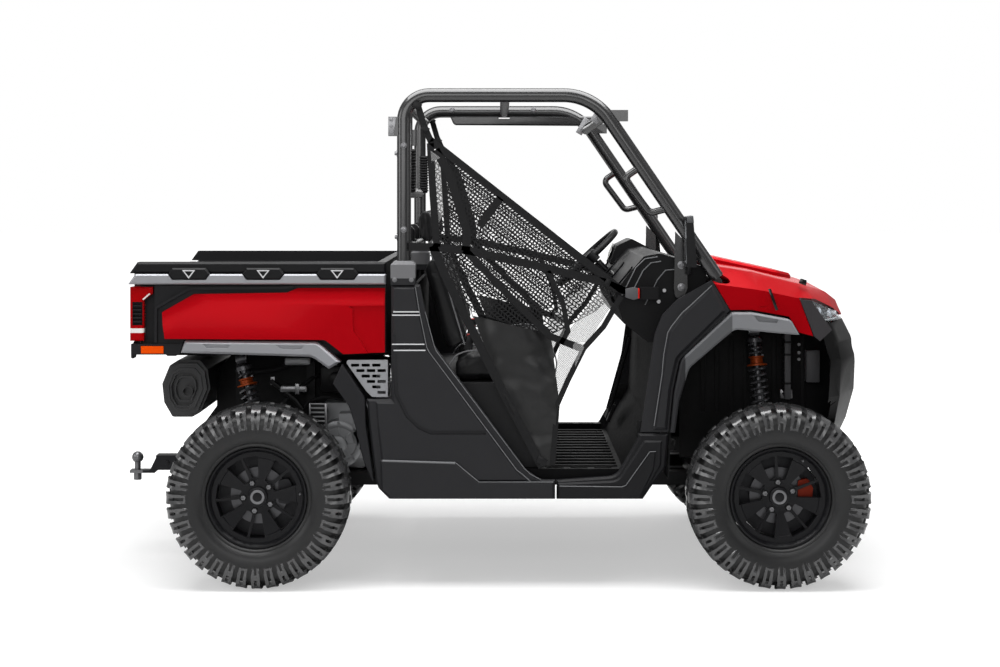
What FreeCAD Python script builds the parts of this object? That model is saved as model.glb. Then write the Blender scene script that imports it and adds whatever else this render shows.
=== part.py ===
import FreeCAD, Part
import math
import os

V = FreeCAD.Vector

# A two-axle side by side utility vehicle with an open cab, a tipping cargo bed and mesh side nets.
# Millimetres. X points forward, Y to the vehicle's left and Z up; the ground is Z = 0.
WHEELBASE = 2055.0
REAR_AXLE_X = -895.0
FRONT_AXLE_X = REAR_AXLE_X + WHEELBASE
REAR_END_X = -1556.0
FRONT_END_X = 1556.0

# Wheels and tyres
TYRE_RADIUS = 362.0
AXLE_Z = TYRE_RADIUS
HALF_WIDTH = 807.5
FRONT_TYRE_WIDTH = 236.0
REAR_TYRE_WIDTH = 276.0
FRONT_WHEEL_Y = HALF_WIDTH - FRONT_TYRE_WIDTH / 2
REAR_WHEEL_Y = HALF_WIDTH - REAR_TYRE_WIDTH / 2
RIM_RADIUS = 197.0
BEAD_RADIUS = 184.0
GAP_RADIUS = TYRE_RADIUS - 17
LUG_PAIRS = 18
DISC_RADIUS = 112.0
DISC_INSET = 71.8
FRONT_RIM_HALF = 86.0
REAR_RIM_HALF = 104.0
# How far each wheel has rolled: the turn of a narrow spoke from straight up, seen from the right.
FRONT_WHEEL_TURN = -5.0
REAR_WHEEL_TURN = 49.0

# Steering
KINGPIN_Y = 600.0
LOWER_BALL_Z = AXLE_Z - 97
UPPER_BALL_Z = AXLE_Z + 98
CUP_HEIGHT = 30.0
DRIVE_Z = AXLE_Z + 80
STEERING_ARM = 112.0
WHEEL_CENTRE = V(465, 430, 1261)
WHEEL_AXIS = V(-0.682, 0, 0.731)
PIN_GAP = 0.3

# Body datums
RAIL_BOTTOM_Z = 332.0
FLOOR_Z = 440.0
CAB_HALF_WIDTH = 640.0
SIDE_Y = 735.0
SEAT_TOP_Z = 940.0
CAGE_Y = 672.0
TUBE = 56.0
PILLAR_X = -322.0

# Cargo bed
BED_HALF_WIDTH = 690.0
BED_FLOOR_Z = 922.0
BED_RAIL_Z = 1240.0
BED_TOP_Z = 1285.0
BED_FRONT_X = -392.0
BED_REAR_X = -1372.0
BED_PIVOT = V(-1312, 0, 897)
TAILGATE_PIVOT = V(-1390, 0, 958)
TAILGATE_HALF = 614.0


# Building helpers

def rounded_wire(points, place):
    """A closed wire through corners (u, v) or (u, v, radius); place puts a flat point into space."""
    ends = []
    for i, corner in enumerate(points):
        here = V(corner[0], corner[1], 0)
        back = (V(*points[i - 1][:2], 0) - here).normalize()
        ahead = (V(*points[(i + 1) % len(points)][:2], 0) - here).normalize()
        radius = corner[2] if len(corner) > 2 else 0
        if not radius:
            ends.append((here, None, here))
            continue
        half = back.getAngle(ahead) / 2
        reach = radius / math.tan(half)
        middle = here + (back + ahead).normalize() * (radius / math.sin(half) - radius)
        ends.append((here + back * reach, middle, here + ahead * reach))
    edges = []
    for i, (start, middle, finish) in enumerate(ends):
        if middle:
            edges.append(Part.Arc(place(start), place(middle), place(finish)).toShape())
        following = ends[(i + 1) % len(ends)][0]
        if (following - finish).Length > 1e-6:
            edges.append(Part.LineSegment(place(finish), place(following)).toShape())
    return Part.Wire(edges)


def side_plate(points, y0, y1):
    """A plate with a side-view outline of (x, z) corners, between two Y planes."""
    wire = rounded_wire(points, lambda p: V(p.x, y0, p.y))
    return Part.Face(wire).extrude(V(0, y1 - y0, 0))


def plan_plate(points, z0, z1):
    """A plate with a plan-view outline of (x, y) corners, between two heights."""
    wire = rounded_wire(points, lambda p: V(p.x, p.y, z0))
    return Part.Face(wire).extrude(V(0, 0, z1 - z0))


def front_plate(points, x0, x1):
    """A plate with a front-view outline of (y, z) corners, between two X planes."""
    wire = rounded_wire(points, lambda p: V(x0, p.x, p.y))
    return Part.Face(wire).extrude(V(x1 - x0, 0, 0))


def box(x0, x1, y0, y1, z0, z1):
    return Part.makeBox(x1 - x0, y1 - y0, z1 - z0, V(x0, y0, z0))


def chamfered(solid, size, chosen):
    """The solid with the edges chamfered whose two ends both satisfy chosen."""
    edges = [e for e in solid.Edges if all(chosen(v.Point) for v in e.Vertexes)]
    return solid.makeChamfer(size, edges)


def rod(start, finish, diameter):
    """A straight round bar between two points."""
    along = finish - start
    return Part.makeCylinder(diameter / 2, along.Length, start, along)


def tube(points, bend, diameter):
    """A round tube along straight runs that tangent arcs of one bend radius join."""
    corners = [V(*p) for p in points]
    edges, start = [], corners[0]
    for before, here, after in zip(corners, corners[1:], corners[2:]):
        back, ahead = (before - here).normalize(), (after - here).normalize()
        half = back.getAngle(ahead) / 2
        first = here + back * (bend / math.tan(half))
        last = here + ahead * (bend / math.tan(half))
        middle = here + (back + ahead).normalize() * (bend / math.sin(half) - bend)
        edges += [Part.LineSegment(start, first).toShape(), Part.Arc(first, middle, last).toShape()]
        start = last
    edges.append(Part.LineSegment(start, corners[-1]).toShape())
    profile = Part.Wire(Part.makeCircle(diameter / 2, corners[0], corners[1] - corners[0]))
    return Part.Wire(edges).makePipeShell([profile], True, False)


def turned(profile, centre, axis=V(0, 1, 0)):
    """A solid of revolution from (radius, offset along the axis) corners."""
    corners = [V(r, along, 0) for r, along in profile]
    face = Part.Face(Part.makePolygon(corners + corners[:1]))
    solid = face.revolve(V(0, 0, 0), V(0, 1, 0), 360)
    solid.Placement = FreeCAD.Placement(centre, FreeCAD.Rotation(V(0, 1, 0), axis))
    return solid


def fused(solids):
    """One solid out of touching pieces."""
    return solids[0].fuse(solids[1:]).removeSplitter() if len(solids) > 1 else solids[0]


def ribbon(points, thickness):
    """The closed outline of a bent strip: an open line of corners and the same line set off to its left."""
    corners = [V(*p[:2], 0) for p in points]
    shifted = []
    for i, here in enumerate(corners):
        ahead = (corners[min(i + 1, len(corners) - 1)] - corners[max(i - 1, 0)]).normalize()
        shifted.append(here + V(-ahead.y, ahead.x, 0) * thickness)
    return [(p.x, p.y) for p in corners + shifted[::-1]]


def mirrored(shape):
    return shape.mirror(V(0, 0, 0), V(0, 1, 0))


def both(shape):
    """The piece on the left and its twin on the right."""
    return [shape, mirrored(shape)]


# Wheels

def tyre(width, rim_half, centre):
    """A knobbly tyre as one closed skin: staggered lugs over crown and shoulders, walls, beads and bore."""
    half, bead = width / 2, rim_half - 10.4
    pitch = math.pi / LUG_PAIRS
    slope = math.radians(1.4)
    flat = math.cos(pitch / 2)

    def spot(radius, y, angle):
        return centre + V(radius * math.sin(angle), y, radius * math.cos(angle))

    def lugged(y, lug, gap, side):
        """Corners at one offset: over each pitch the radius is that of a lug or of the gap beside it."""
        ring = []
        for i in range(2 * LUG_PAIRS):
            radius = lug if (i % 2 == 0) == (side > 0) else gap
            ring += [spot(radius, side * y, i * pitch + slope), spot(radius, side * y, (i + 1) * pitch - slope)]
        return ring

    def plain(y, radius, side):
        return [spot(radius / flat, side * y, i * pitch) for i in range(2 * LUG_PAIRS)]

    def band(first, second):
        """Faces between two rings of the same count."""
        faces = []
        for i in range(len(first)):
            k = (i + 1) % len(first)
            faces += [(first[i], first[k], second[k]), (first[i], second[k], second[i])]
        return faces

    def taper(lugs, ring):
        """Faces from a lugged ring to a plain one with half as many corners."""
        faces = []
        for i in range(len(ring)):
            k = (i + 1) % len(ring)
            faces += [(lugs[2 * i], lugs[2 * i + 1], ring[k]), (lugs[2 * i], ring[k], ring[i])]
            faces.append((lugs[2 * i + 1], lugs[(2 * i + 2) % len(lugs)], ring[k]))
        return faces

    faces, crowns, bores = [], [], []
    for side in (1, -1):
        lugs = [lugged(3, TYRE_RADIUS, GAP_RADIUS, side), lugged(0.62 * half, TYRE_RADIUS, GAP_RADIUS, side),
                lugged(0.88 * half, TYRE_RADIUS - 15, GAP_RADIUS - 13, side)]
        wall = [plain(half, 268, side), plain(rim_half - 2, 199, side), plain(bead, RIM_RADIUS + 0.6, side),
                plain(bead, BEAD_RADIUS, side)]
        faces += band(lugs[0], lugs[1]) + band(lugs[1], lugs[2]) + taper(lugs[2], wall[0])
        for first, second in zip(wall, wall[1:]):
            faces += band(first, second)
        crowns.append(lugs[0])
        bores.append(wall[-1])
    faces += band(*crowns) + band(*bores)
    shell = Part.makeShell([Part.Face(Part.makePolygon(corners + corners[:1])) for corners in map(list, faces)])
    shell.sewShape()
    solid = Part.makeSolid(shell)
    if solid.Volume < 0:
        solid.reverse()
    return solid


def rim(half, centre, turn):
    """A cast wheel for the left side: barrel, five wide and five narrow spokes, hub and cap."""
    barrel = [
        (RIM_RADIUS, half), (RIM_RADIUS, half - 7), (BEAD_RADIUS - 0.3, half - 10),
        (BEAD_RADIUS - 0.3, half - 30),
        (171, half - 52), (171, 52 - half), (BEAD_RADIUS - 0.3, 30 - half), (BEAD_RADIUS - 0.3, 10 - half),
        (RIM_RADIUS, 7 - half), (RIM_RADIUS, -half), (189, -half), (177, 20 - half), (177, 30 - half),
        (164, 54 - half), (164, half - 54), (177, half - 30), (180, half - 12), (190, half),
    ]
    wheel = turned(barrel, V(0, 0, 0))
    disc = turned([(0, half - 58), (60, half - 58), (181, half - 34), (181, half - 18), (156, half - 20),
                   (153, half - 24), (60, half - 38), (40, half - 38), (38, half - 26), (32, half - 24),
                   (0, half - 24)], V(0, 0, 0))
    window = [(74, 6), (164, 5), (150, 65), (60, 27)]
    narrow_spoke = [(64, -30), (64, 30), (150, 66), (164, 0), (150, -66)]
    cutters = []
    for spoke in range(5):
        pocket = side_plate(narrow_spoke, half - 46, half)
        pocket = pocket.common(turned([(44, half - 46), (60, half - 48), (168, half - 31), (168, half),
                                       (44, half)],
                                      V(0, 0, 0)))
        nut_seat = rod(V(57.15, half - 46, 0), V(57.15, half, 0), 26)
        holes = [side_plate([(u, v * side, 5) for u, v in window], half - 80, half) for side in (1, -1)]
        for cutter in [pocket, nut_seat] + holes:
            cutter.rotate(V(0, 0, 0), V(0, 1, 0), 72 * spoke - 90 + turn)
            cutters.append(cutter)
    wheel = wheel.fuse(disc.cut(cutters)).removeSplitter()
    wheel.translate(centre)
    return wheel


def brake_disc(half, centre):
    """Hub flange that the wheel bolts to, with the brake disc behind it and the stub in the bearing."""
    seat = half - 58.3
    inner_face = KINGPIN_Y + 41 - centre.y
    disc = turned([(0, inner_face), (58, inner_face), (58, seat - 16), (DISC_RADIUS, seat - 16),
                   (DISC_RADIUS, seat - 11), (62, seat - 11), (62, seat), (0, seat)], centre)
    return disc


# Front suspension and steering, left side unless a comment says otherwise

def caliper(axle_x, disc_y):
    """Brake caliper round the disc's edge, with the bracket that reaches it from the upright."""
    body = side_plate([(axle_x + 78, AXLE_Z - 28, 8), (axle_x + 78, AXLE_Z + 60, 8),
                       (axle_x + 118, AXLE_Z + 68, 14),
                       (axle_x + 138, AXLE_Z + 30, 14), (axle_x + 134, AXLE_Z - 20, 14),
                       (axle_x + 112, AXLE_Z - 34, 8)],
                      disc_y - 20, disc_y + 13)
    gap = rod(V(axle_x, disc_y - 7.5, AXLE_Z), V(axle_x, disc_y + 7.5, AXLE_Z), 2 * DISC_RADIUS + 10)
    bracket = side_plate([(axle_x + 66, AXLE_Z - 24), (axle_x + 66, AXLE_Z + 24), (axle_x + 96, AXLE_Z + 40),
                          (axle_x + 96, AXLE_Z - 24)], KINGPIN_Y - 12, disc_y - 18)
    return [body.cut(gap), bracket]


def knuckle():
    """The steered upright: post between the ball joints, bearing housing, steering arm and caliper."""
    post = box(FRONT_AXLE_X - 22, FRONT_AXLE_X + 22, KINGPIN_Y - 20, KINGPIN_Y + 20,
               LOWER_BALL_Z + CUP_HEIGHT / 2 + 6, UPPER_BALL_Z - CUP_HEIGHT / 2 - 6)
    housing = rod(V(FRONT_AXLE_X, KINGPIN_Y - 24, AXLE_Z), V(FRONT_AXLE_X, KINGPIN_Y + 36, AXLE_Z), 100)
    pin = rod(V(FRONT_AXLE_X, KINGPIN_Y, LOWER_BALL_Z - 10), V(FRONT_AXLE_X, KINGPIN_Y, UPPER_BALL_Z + 10), 16)
    arm = plan_plate([(FRONT_AXLE_X, KINGPIN_Y + 18), (FRONT_AXLE_X, KINGPIN_Y - 18),
                      (FRONT_AXLE_X - STEERING_ARM - 14, KINGPIN_Y - 14, 13),
                      (FRONT_AXLE_X - STEERING_ARM - 14, KINGPIN_Y + 14, 13)], AXLE_Z + 58, AXLE_Z + 74)
    mount = box(FRONT_AXLE_X + 30, FRONT_AXLE_X + 76, KINGPIN_Y - 12, KINGPIN_Y + 14, AXLE_Z - 26, AXLE_Z + 26)
    drive_cup = rod(V(FRONT_AXLE_X, KINGPIN_Y - 50, AXLE_Z), V(FRONT_AXLE_X, KINGPIN_Y - 20, AXLE_Z), 66)
    disc_y = FRONT_WHEEL_Y + FRONT_RIM_HALF - DISC_INSET
    return fused([post, housing, pin, arm, mount, drive_cup] + caliper(FRONT_AXLE_X, disc_y))


def ball_cup(x, z):
    """The round eye at an arm's outer end, bored for the knuckle's pin."""
    cup = Part.makeCylinder(23, CUP_HEIGHT, V(x, KINGPIN_Y, z - CUP_HEIGHT / 2))
    return cup, Part.makeCylinder(8 + PIN_GAP, CUP_HEIGHT + 2, V(x, KINGPIN_Y, z - CUP_HEIGHT / 2 - 1))


def control_arm(axle_x, inner_y, inner_z, outer_z, spread):
    """An A-shaped arm of bent tube with a pivot barrel at each inner end and a cross brace."""
    outer = V(axle_x, KINGPIN_Y - 14, outer_z)
    cup, bore = ball_cup(axle_x, outer_z)
    pieces = [cup]
    legs = []
    for side in (1, -1):
        inner = V(axle_x + side * spread, inner_y, inner_z)
        legs.append(inner)
        pieces.append(rod(inner, outer, 30))
        pieces.append(rod(inner - V(24, 0, 0), inner + V(24, 0, 0), 40))
    brace = [leg + (outer - leg) * 0.38 for leg in legs]
    pieces.append(rod(brace[0], brace[1], 24))
    return fused(pieces).cut(bore)


def shock(top, bottom):
    """A coil-over damper: body, rod, spring and the two eyes."""
    along = (top - bottom).normalize()
    length = (top - bottom).Length
    body = turned([(0, 24), (19, 24), (19, 40), (50, 40), (50, length - 70), (26, length - 70),
                   (26, length - 24),
                   (0, length - 24)], bottom, along)
    eyes = [rod(p - V(22, 0, 0), p + V(22, 0, 0), 44) for p in (top, bottom)]
    links = [rod(bottom, bottom + along * 30, 22), rod(top - along * 30, top, 30)]
    return fused([body] + eyes + links)


def front_arms():
    upper = control_arm(FRONT_AXLE_X, 219, AXLE_Z + 118, UPPER_BALL_Z, 120)
    lower = control_arm(FRONT_AXLE_X, 283, RAIL_BOTTOM_Z + 26, LOWER_BALL_Z, 150)
    return both(upper) + both(lower)


def shocks():
    front = shock(V(FRONT_AXLE_X - 45, 372, 988), V(FRONT_AXLE_X - 8, 436, 506))
    rear = shock(V(REAR_AXLE_X - 118, 392, 872), V(REAR_AXLE_X - 22, 440, 508))
    return both(front) + both(rear)


def rear_suspension():
    """Rear arms with the uprights that hold the wheel bearings; these don't steer."""
    upper = control_arm(REAR_AXLE_X, 235, AXLE_Z + 118, UPPER_BALL_Z, 120)
    lower = control_arm(REAR_AXLE_X, 283, RAIL_BOTTOM_Z + 26, LOWER_BALL_Z, 150)
    post = box(REAR_AXLE_X - 22, REAR_AXLE_X + 22, KINGPIN_Y - 20, KINGPIN_Y + 20,
               LOWER_BALL_Z + CUP_HEIGHT / 2, UPPER_BALL_Z - CUP_HEIGHT / 2)
    housing = rod(V(REAR_AXLE_X, KINGPIN_Y - 24, AXLE_Z), V(REAR_AXLE_X, KINGPIN_Y + 36, AXLE_Z), 100)
    pin = rod(V(REAR_AXLE_X, KINGPIN_Y, LOWER_BALL_Z - 14), V(REAR_AXLE_X, KINGPIN_Y, UPPER_BALL_Z + 14), 17)
    mount = box(REAR_AXLE_X + 30, REAR_AXLE_X + 76, KINGPIN_Y - 12, KINGPIN_Y + 14, AXLE_Z - 26, AXLE_Z + 26)
    brake = caliper(REAR_AXLE_X, REAR_WHEEL_Y + REAR_RIM_HALF - DISC_INSET)
    return both(fused([upper, lower, post, housing, pin, mount] + brake))


def half_shafts():
    """Drive shafts with their rubber boots, from each gearbox to the uprights."""
    pieces = []
    for axle_x, inner_y, outer_y in ((FRONT_AXLE_X, 104, KINGPIN_Y - 76), (REAR_AXLE_X, 134, KINGPIN_Y - 28)):
        inner = V(axle_x, inner_y, DRIVE_Z)
        along = V(axle_x, outer_y, AXLE_Z) - inner
        length = along.Length
        profile = [(0, 0), (42, 0), (42, 30), (16, 84), (13, 90), (13, length - 100), (16, length - 94),
                   (38, length - 34), (38, length - 4), (0, length)]
        pieces += both(turned(profile, inner, along))
    return pieces


def tie_rods():
    """Steering rack bar with a rod to each steering arm."""
    x = FRONT_AXLE_X - STEERING_ARM
    z = AXLE_Z + 44
    rack = rod(V(x, -205, z), V(x, 205, z), 26)
    rods = [rack]
    for side in (1, -1):
        rods.append(rod(V(x, side * 200, z), V(x, side * (KINGPIN_Y - 12), z), 18))
        rods.append(Part.makeCylinder(17, 26, V(x, side * KINGPIN_Y, z - 13)))
    return [fused(rods)]


# Chassis

def frame():
    """Two long bottom rails with cross members and the outriggers that carry the sills."""
    pieces = [box(-1196, 1330, y - 26, y + 26, RAIL_BOTTOM_Z, RAIL_BOTTOM_Z + 52) for y in (-236, 236)]
    for x in (-1120, -700, -190, 470, 900, 1270):
        pieces.append(box(x - 20, x + 20, -236, 236, RAIL_BOTTOM_Z + 4, RAIL_BOTTOM_Z + 48))
    for x in (-322, 560):
        pieces.append(box(x - 24, x + 24, -690, 690, RAIL_BOTTOM_Z + 52, RAIL_BOTTOM_Z + 88))
    return [fused(pieces + front_subframe() + rear_subframe())]


def front_subframe():
    """Front uprights, the top rails and the bridge that carries the shock absorbers."""
    base = RAIL_BOTTOM_Z + 52
    pieces = []
    for y in (-180, 180):
        for x in (FRONT_AXLE_X - 150, FRONT_AXLE_X + 150):
            pieces.append(box(x - 18, x + 18, y - 18, y + 18, base, 1012))
        pieces.append(box(FRONT_AXLE_X - 300, FRONT_AXLE_X + 168, y - 18, y + 18, 976, 1012))
        pieces.append(box(FRONT_AXLE_X - 168, FRONT_AXLE_X + 168, y - 16, y + 16, 560, 592))
    pieces.append(box(FRONT_AXLE_X - 70, FRONT_AXLE_X - 20, -388, 388, 1010, 1034))
    pieces.append(box(FRONT_AXLE_X + 132, FRONT_AXLE_X + 168, -180, 180, 700, 736))
    ties = [box(FRONT_AXLE_X + s * 150 - 18, FRONT_AXLE_X + s * 150 + 18, -232, 232, base, base + 16)
            for s in (-1, 1)]
    return pieces + ties


def rear_subframe():
    """Rear uprights, shock bridge and the two rails that the cargo bed rests on."""
    base = RAIL_BOTTOM_Z + 52
    pieces = []
    for y in (-196, 196):
        for x in (REAR_AXLE_X - 150, REAR_AXLE_X + 150):
            pieces.append(box(x - 18, x + 18, y - 18, y + 18, base, 884))
    for y in (-300, 300):
        pieces.append(box(-1322, -306, y - 22, y + 22, 880, 914))
        pieces.append(rod(V(BED_PIVOT.x, y, BED_PIVOT.z), V(BED_PIVOT.x, math.copysign(346, y), BED_PIVOT.z),
                          20))
    for x in (REAR_AXLE_X - 150, REAR_AXLE_X + 150, -450):
        pieces.append(box(x - 18, x + 18, -300, 300, 880, 906))
    pieces.append(box(REAR_AXLE_X - 150, REAR_AXLE_X - 86, -404, 404, 894, 908))
    for x in (REAR_AXLE_X - 150, REAR_AXLE_X + 150):
        pieces.append(box(x - 18, x + 18, -214, 214, base, base + 16))
    for y in (-300, 300):
        pieces.append(box(-346, -306, y - 20, y + 20, RAIL_BOTTOM_Z + 88, 884))
    return pieces


def skid_plate():
    """Belly plate with its upswept nose."""
    outline = [(1462, 520), (1302, 318, 40), (-1120, 318), (-1120, 324), (1299, 324, 34), (1457, 524)]
    return [side_plate(outline, -210, 210)]


def engine():
    """Engine block with its rocker cover and the drive-belt housing on the right."""
    block = chamfered(box(-690, -356, -190, 230, 392, 690), 26, lambda p: p.z > 680)
    head = chamfered(box(-650, -430, -150, 170, 690, 812), 22, lambda p: p.z > 800)
    belt_case = Part.makeCylinder(128, 86, V(-440, -276, 560), V(0, 1, 0))
    driven_case = Part.makeCylinder(100, 86, V(-620, -276, 500), V(0, 1, 0))
    bridge = box(-620, -440, -276, -190, 440, 630)
    return [fused([block, head, belt_case, driven_case, bridge])]


def gearboxes():
    """Front differential and rear gearbox on the axle lines."""
    front = chamfered(box(FRONT_AXLE_X - 80, FRONT_AXLE_X + 90, -95, 95, 386, 510), 20, lambda p: p.z > 500)
    rear = chamfered(box(REAR_AXLE_X - 110, REAR_AXLE_X + 126, -125, 125, 386, 530), 24, lambda p: p.z > 520)
    return [front, rear]


def exhaust():
    """Cross-mounted eight-sided silencer with stepped end caps and its outlet pipe."""
    centre = V(-1239, 0, 750)
    section = [(-92, -57), (-100, 19), (-69, 95), (-33, 118), (54, 118), (88, 80), (100, 0), (59, -99),
               (25, -118),
               (-57, -118)]

    def prism(share, y0, y1):
        return side_plate([(centre.x + u * share, centre.z + w * share, 14) for u, w in section], y0, y1)

    can = prism(1, -400, 270)
    caps = [prism(0.9, -424, -400), prism(0.9, 270, 290)]
    ring = prism(0.74, -430, -424).cut(prism(0.66, -431, -423))
    dish = prism(0.58, -425, -400)
    lip = prism(0.46, -418, -400).cut(prism(0.4, -419, -399))
    stub = rod(V(centre.x + 10, -428, centre.z - 10), V(centre.x + 10, -380, centre.z - 10), 44)
    mouth = rod(V(centre.x + 10, -430, centre.z - 10), V(centre.x + 10, -396, centre.z - 10), 36)
    pipe = tube([(centre.x + 40, 280, centre.z), (centre.x + 40, 326, centre.z), (-900, 326, 690),
                 (-692, 222, 700)], 30, 46)
    return [fused([can] + caps).cut(dish).fuse([ring, lip, stub, pipe]).cut(mouth).removeSplitter()]


def tow_hitch():
    """Receiver tube, drop mount and ball."""
    receiver = box(-1440, -1160, -32, 32, RAIL_BOTTOM_Z + 20, RAIL_BOTTOM_Z + 84)
    mouth = box(-1450, -1200, -25.4, 25.4, RAIL_BOTTOM_Z + 26.6, RAIL_BOTTOM_Z + 77.4)
    shank = side_plate([(-1300, 408), (-1440, 408, 8), (-1468, 350, 8), (REAR_END_X, 350), (REAR_END_X, 338),
                        (-1446, 338, 8), (-1430, 360, 8), (-1300, 360)], -25, 25)
    pin = rod(V(-1390, -42, 384), V(-1390, 42, 384), 16)
    cross = box(-1196, -1156, -210, 210, RAIL_BOTTOM_Z + 8, RAIL_BOTTOM_Z + 52)
    ball_x = REAR_END_X + 30
    neck = Part.makeCylinder(13, 40, V(ball_x, 0, 348))
    nut = Part.makeCylinder(17, 34, V(ball_x, 0, 306))
    ball = Part.makeSphere(25, V(ball_x, 0, 404))
    return [fused([receiver.cut(mouth), shank, pin, cross, neck, nut, ball])]


# Cab structure

def cage_tube(diameter):
    """The bent tube of one side hoop: rear pillar, roof rail and front pillar."""
    top_z, joint_x = 1948.0, 0
    rear_bend, front_bend = 100, 220
    rear = tube([(PILLAR_X, CAGE_Y, RAIL_BOTTOM_Z + 88), (PILLAR_X, CAGE_Y, top_z), (joint_x, CAGE_Y, top_z)],
                rear_bend, diameter)
    front = tube([(joint_x, CAGE_Y, top_z), (430, CAGE_Y, top_z), (925, CAGE_Y, 1222)], front_bend, diameter)
    return rear.fuse(front)


def cage_side():
    """Side hoop with its grab handle, front leg and the brackets of the roof and the rear screen."""
    leg = side_plate([(758, 1405), (802, 1360), (806, 1180, 16), (790, 1140, 16), (758, 1140, 16), (752, 1180)],
                     CAGE_Y - 12, CAGE_Y + 6)
    handle = tube([(632, CAGE_Y, 1672), (553, CAGE_Y, 1619), (657, CAGE_Y, 1479), (738, CAGE_Y, 1500)], 26, 28)
    rear_block = box(PILLAR_X - 62, PILLAR_X - 20, CAGE_Y - 26, CAGE_Y + 16, 1786, 1862)
    holes = [rod(V(PILLAR_X - 70, CAGE_Y - 5, z), V(PILLAR_X - 10, CAGE_Y - 5, z), 9) for z in (1804, 1844)]
    front_block = box(500, 569, CAGE_Y - 24, CAGE_Y + 14, 1845, 1889)
    side = fused([cage_tube(TUBE), leg, handle, front_block])
    return side.fuse(rear_block.cut(holes)).removeSplitter()


def header_pad():
    """Padded panel under the driver's roof rail."""
    pad = side_plate([(-178, 1926), (-160, 1884, 20), (500, 1880, 20), (536, 1926)], CAGE_Y - 26, CAGE_Y - 4)
    notch = box(54, 106, CAGE_Y - 30, CAGE_Y, 1914, 1930)
    return chamfered(pad, 6, lambda p: p.y < CAGE_Y - 25).cut(notch)


def cage_cross():
    """Cross tubes between the two side hoops."""
    hoop = both(cage_tube(TUBE + 0.6))
    pieces = []
    for x, z, size in ((-300, 1900, 44), (-322, 1560, 44), (-322, 1330, 44), (470, 1862, 44), (80, 1942, 40)):
        pieces.append(rod(V(x, -CAGE_Y, z), V(x, CAGE_Y, z), size).cut(hoop).Solids[0])
    bar_end = CAGE_Y - TUBE / 2 - 3
    dash_bar = rod(V(930, -bar_end, 1202), V(930, bar_end, 1202), 40)
    legs = [rod(V(930, y, 1012), V(930, y, 1202), 34) for y in (-180, 180)]
    return pieces + [fused([dash_bar] + legs)]


def floor():
    """Ribbed floor pan with the toe board, the wall to the engine bay and the step strips."""
    pan = box(-150, 560, -CAB_HALF_WIDTH, CAB_HALF_WIDTH, FLOOR_Z - 16, FLOOR_Z)
    toe = side_plate([(560, FLOOR_Z - 16), (560, FLOOR_Z), (668, 640, 40), (690, 960), (706, 960),
                      (684, 632, 40),
                      (572, FLOOR_Z - 16)], -CAB_HALF_WIDTH, CAB_HALF_WIDTH)
    ribs = [box(-120, 540, y - 9, y + 9, FLOOR_Z, FLOOR_Z + 6) for y in range(-560, 561, 80)]
    wall = front_plate([(-CAB_HALF_WIDTH, FLOOR_Z - 16), (-CAB_HALF_WIDTH, 1188, 30),
                        (CAB_HALF_WIDTH, 1188, 30),
                        (CAB_HALF_WIDTH, FLOOR_Z - 16)], -292, -278)
    tail = box(-292, -150, -CAB_HALF_WIDTH, CAB_HALF_WIDTH, FLOOR_Z - 16, FLOOR_Z)
    return [fused([pan, tail, toe, wall] + ribs + both(threshold()))]


def seat_base():
    """Moulded box under the bench, with a step line below the cushions."""
    outline = [(-276, FLOOR_Z + 7), (-276, 800), (262, 800, 14), (262, 770), (240, 742), (226, FLOOR_Z + 7)]
    return [side_plate(outline, -CAB_HALF_WIDTH + 6, CAB_HALF_WIDTH - 6)]


SEATS = ((-422, 412), (0, 408), (422, 412))


def seat_cushions():
    outline = [(-150, 804, 20), (-150, 905, 30), (210, SEAT_TOP_Z, 40), (292, SEAT_TOP_Z - 25, 50),
               (286, 812, 40)]
    return [side_plate(outline, y - width / 2, y + width / 2) for y, width in SEATS]


def seat_backs():
    """Three padded backs, each with a head restraint on two posts."""
    outline = [(-148, 915, 24), (-250, 1296, 36), (-180, 1312, 36), (-62, 946, 24)]
    pad_outline = [(-262, 1352, 22), (-272, 1492, 24), (-222, 1496, 24), (-206, 1352, 22)]
    pieces = []
    for y, width in SEATS:
        back = side_plate(outline, y - width / 2 + 6, y + width / 2 - 6)
        pad = side_plate(pad_outline, y - 130, y + 130)
        posts = [rod(V(-212, y + side * 62, 1290), V(-236, y + side * 62, 1372), 13) for side in (1, -1)]
        pieces.append(fused([back, pad] + posts))
    return pieces


def seat_belts():
    """Retractor housings on the cross tube and the webbing that runs down over each back."""
    pieces = []
    for y, width in SEATS:
        retractor = box(-346, -298, y + 142, y + 196, 1353, 1423)
        webbing = side_plate([(-298, 1400), (-240, 1420, 20), (-168, 1320), (-165, 1322), (-236, 1426, 20),
                              (-298, 1404)],
                             y + 146, y + 192)
        pieces.append(fused([retractor, webbing]))
    return pieces


def dashboard():
    """Full-width dash with an instrument hood, a recess, the column shroud and the nets' front buckles."""
    outline = [(520, 1162, 20), (552, 1040, 20), (652, 962), (726, 962), (884, 1100), (884, 1262),
               (700, 1318, 30),
               (636, 1306, 24), (572, 1232, 16)]
    dash = side_plate(outline, -CAB_HALF_WIDTH, CAB_HALF_WIDTH)
    recess = side_plate([(505, 1150), (560, 1060), (590, 1080), (590, 1180)], -560, -160)
    hood = side_plate([(560, 1240), (590, 1318, 16), (660, 1352, 20), (760, 1300)], 300, 560)
    column = rod(WHEEL_CENTRE - WHEEL_AXIS * 46, WHEEL_CENTRE - WHEEL_AXIS * 190, 78)
    latch = chamfered(box(612, 690, CAB_HALF_WIDTH - 4, 690, 1136, 1184), 8, lambda p: p.x < 613)
    return [fused([dash.cut(recess), hood, column] + both(latch))]


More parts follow.
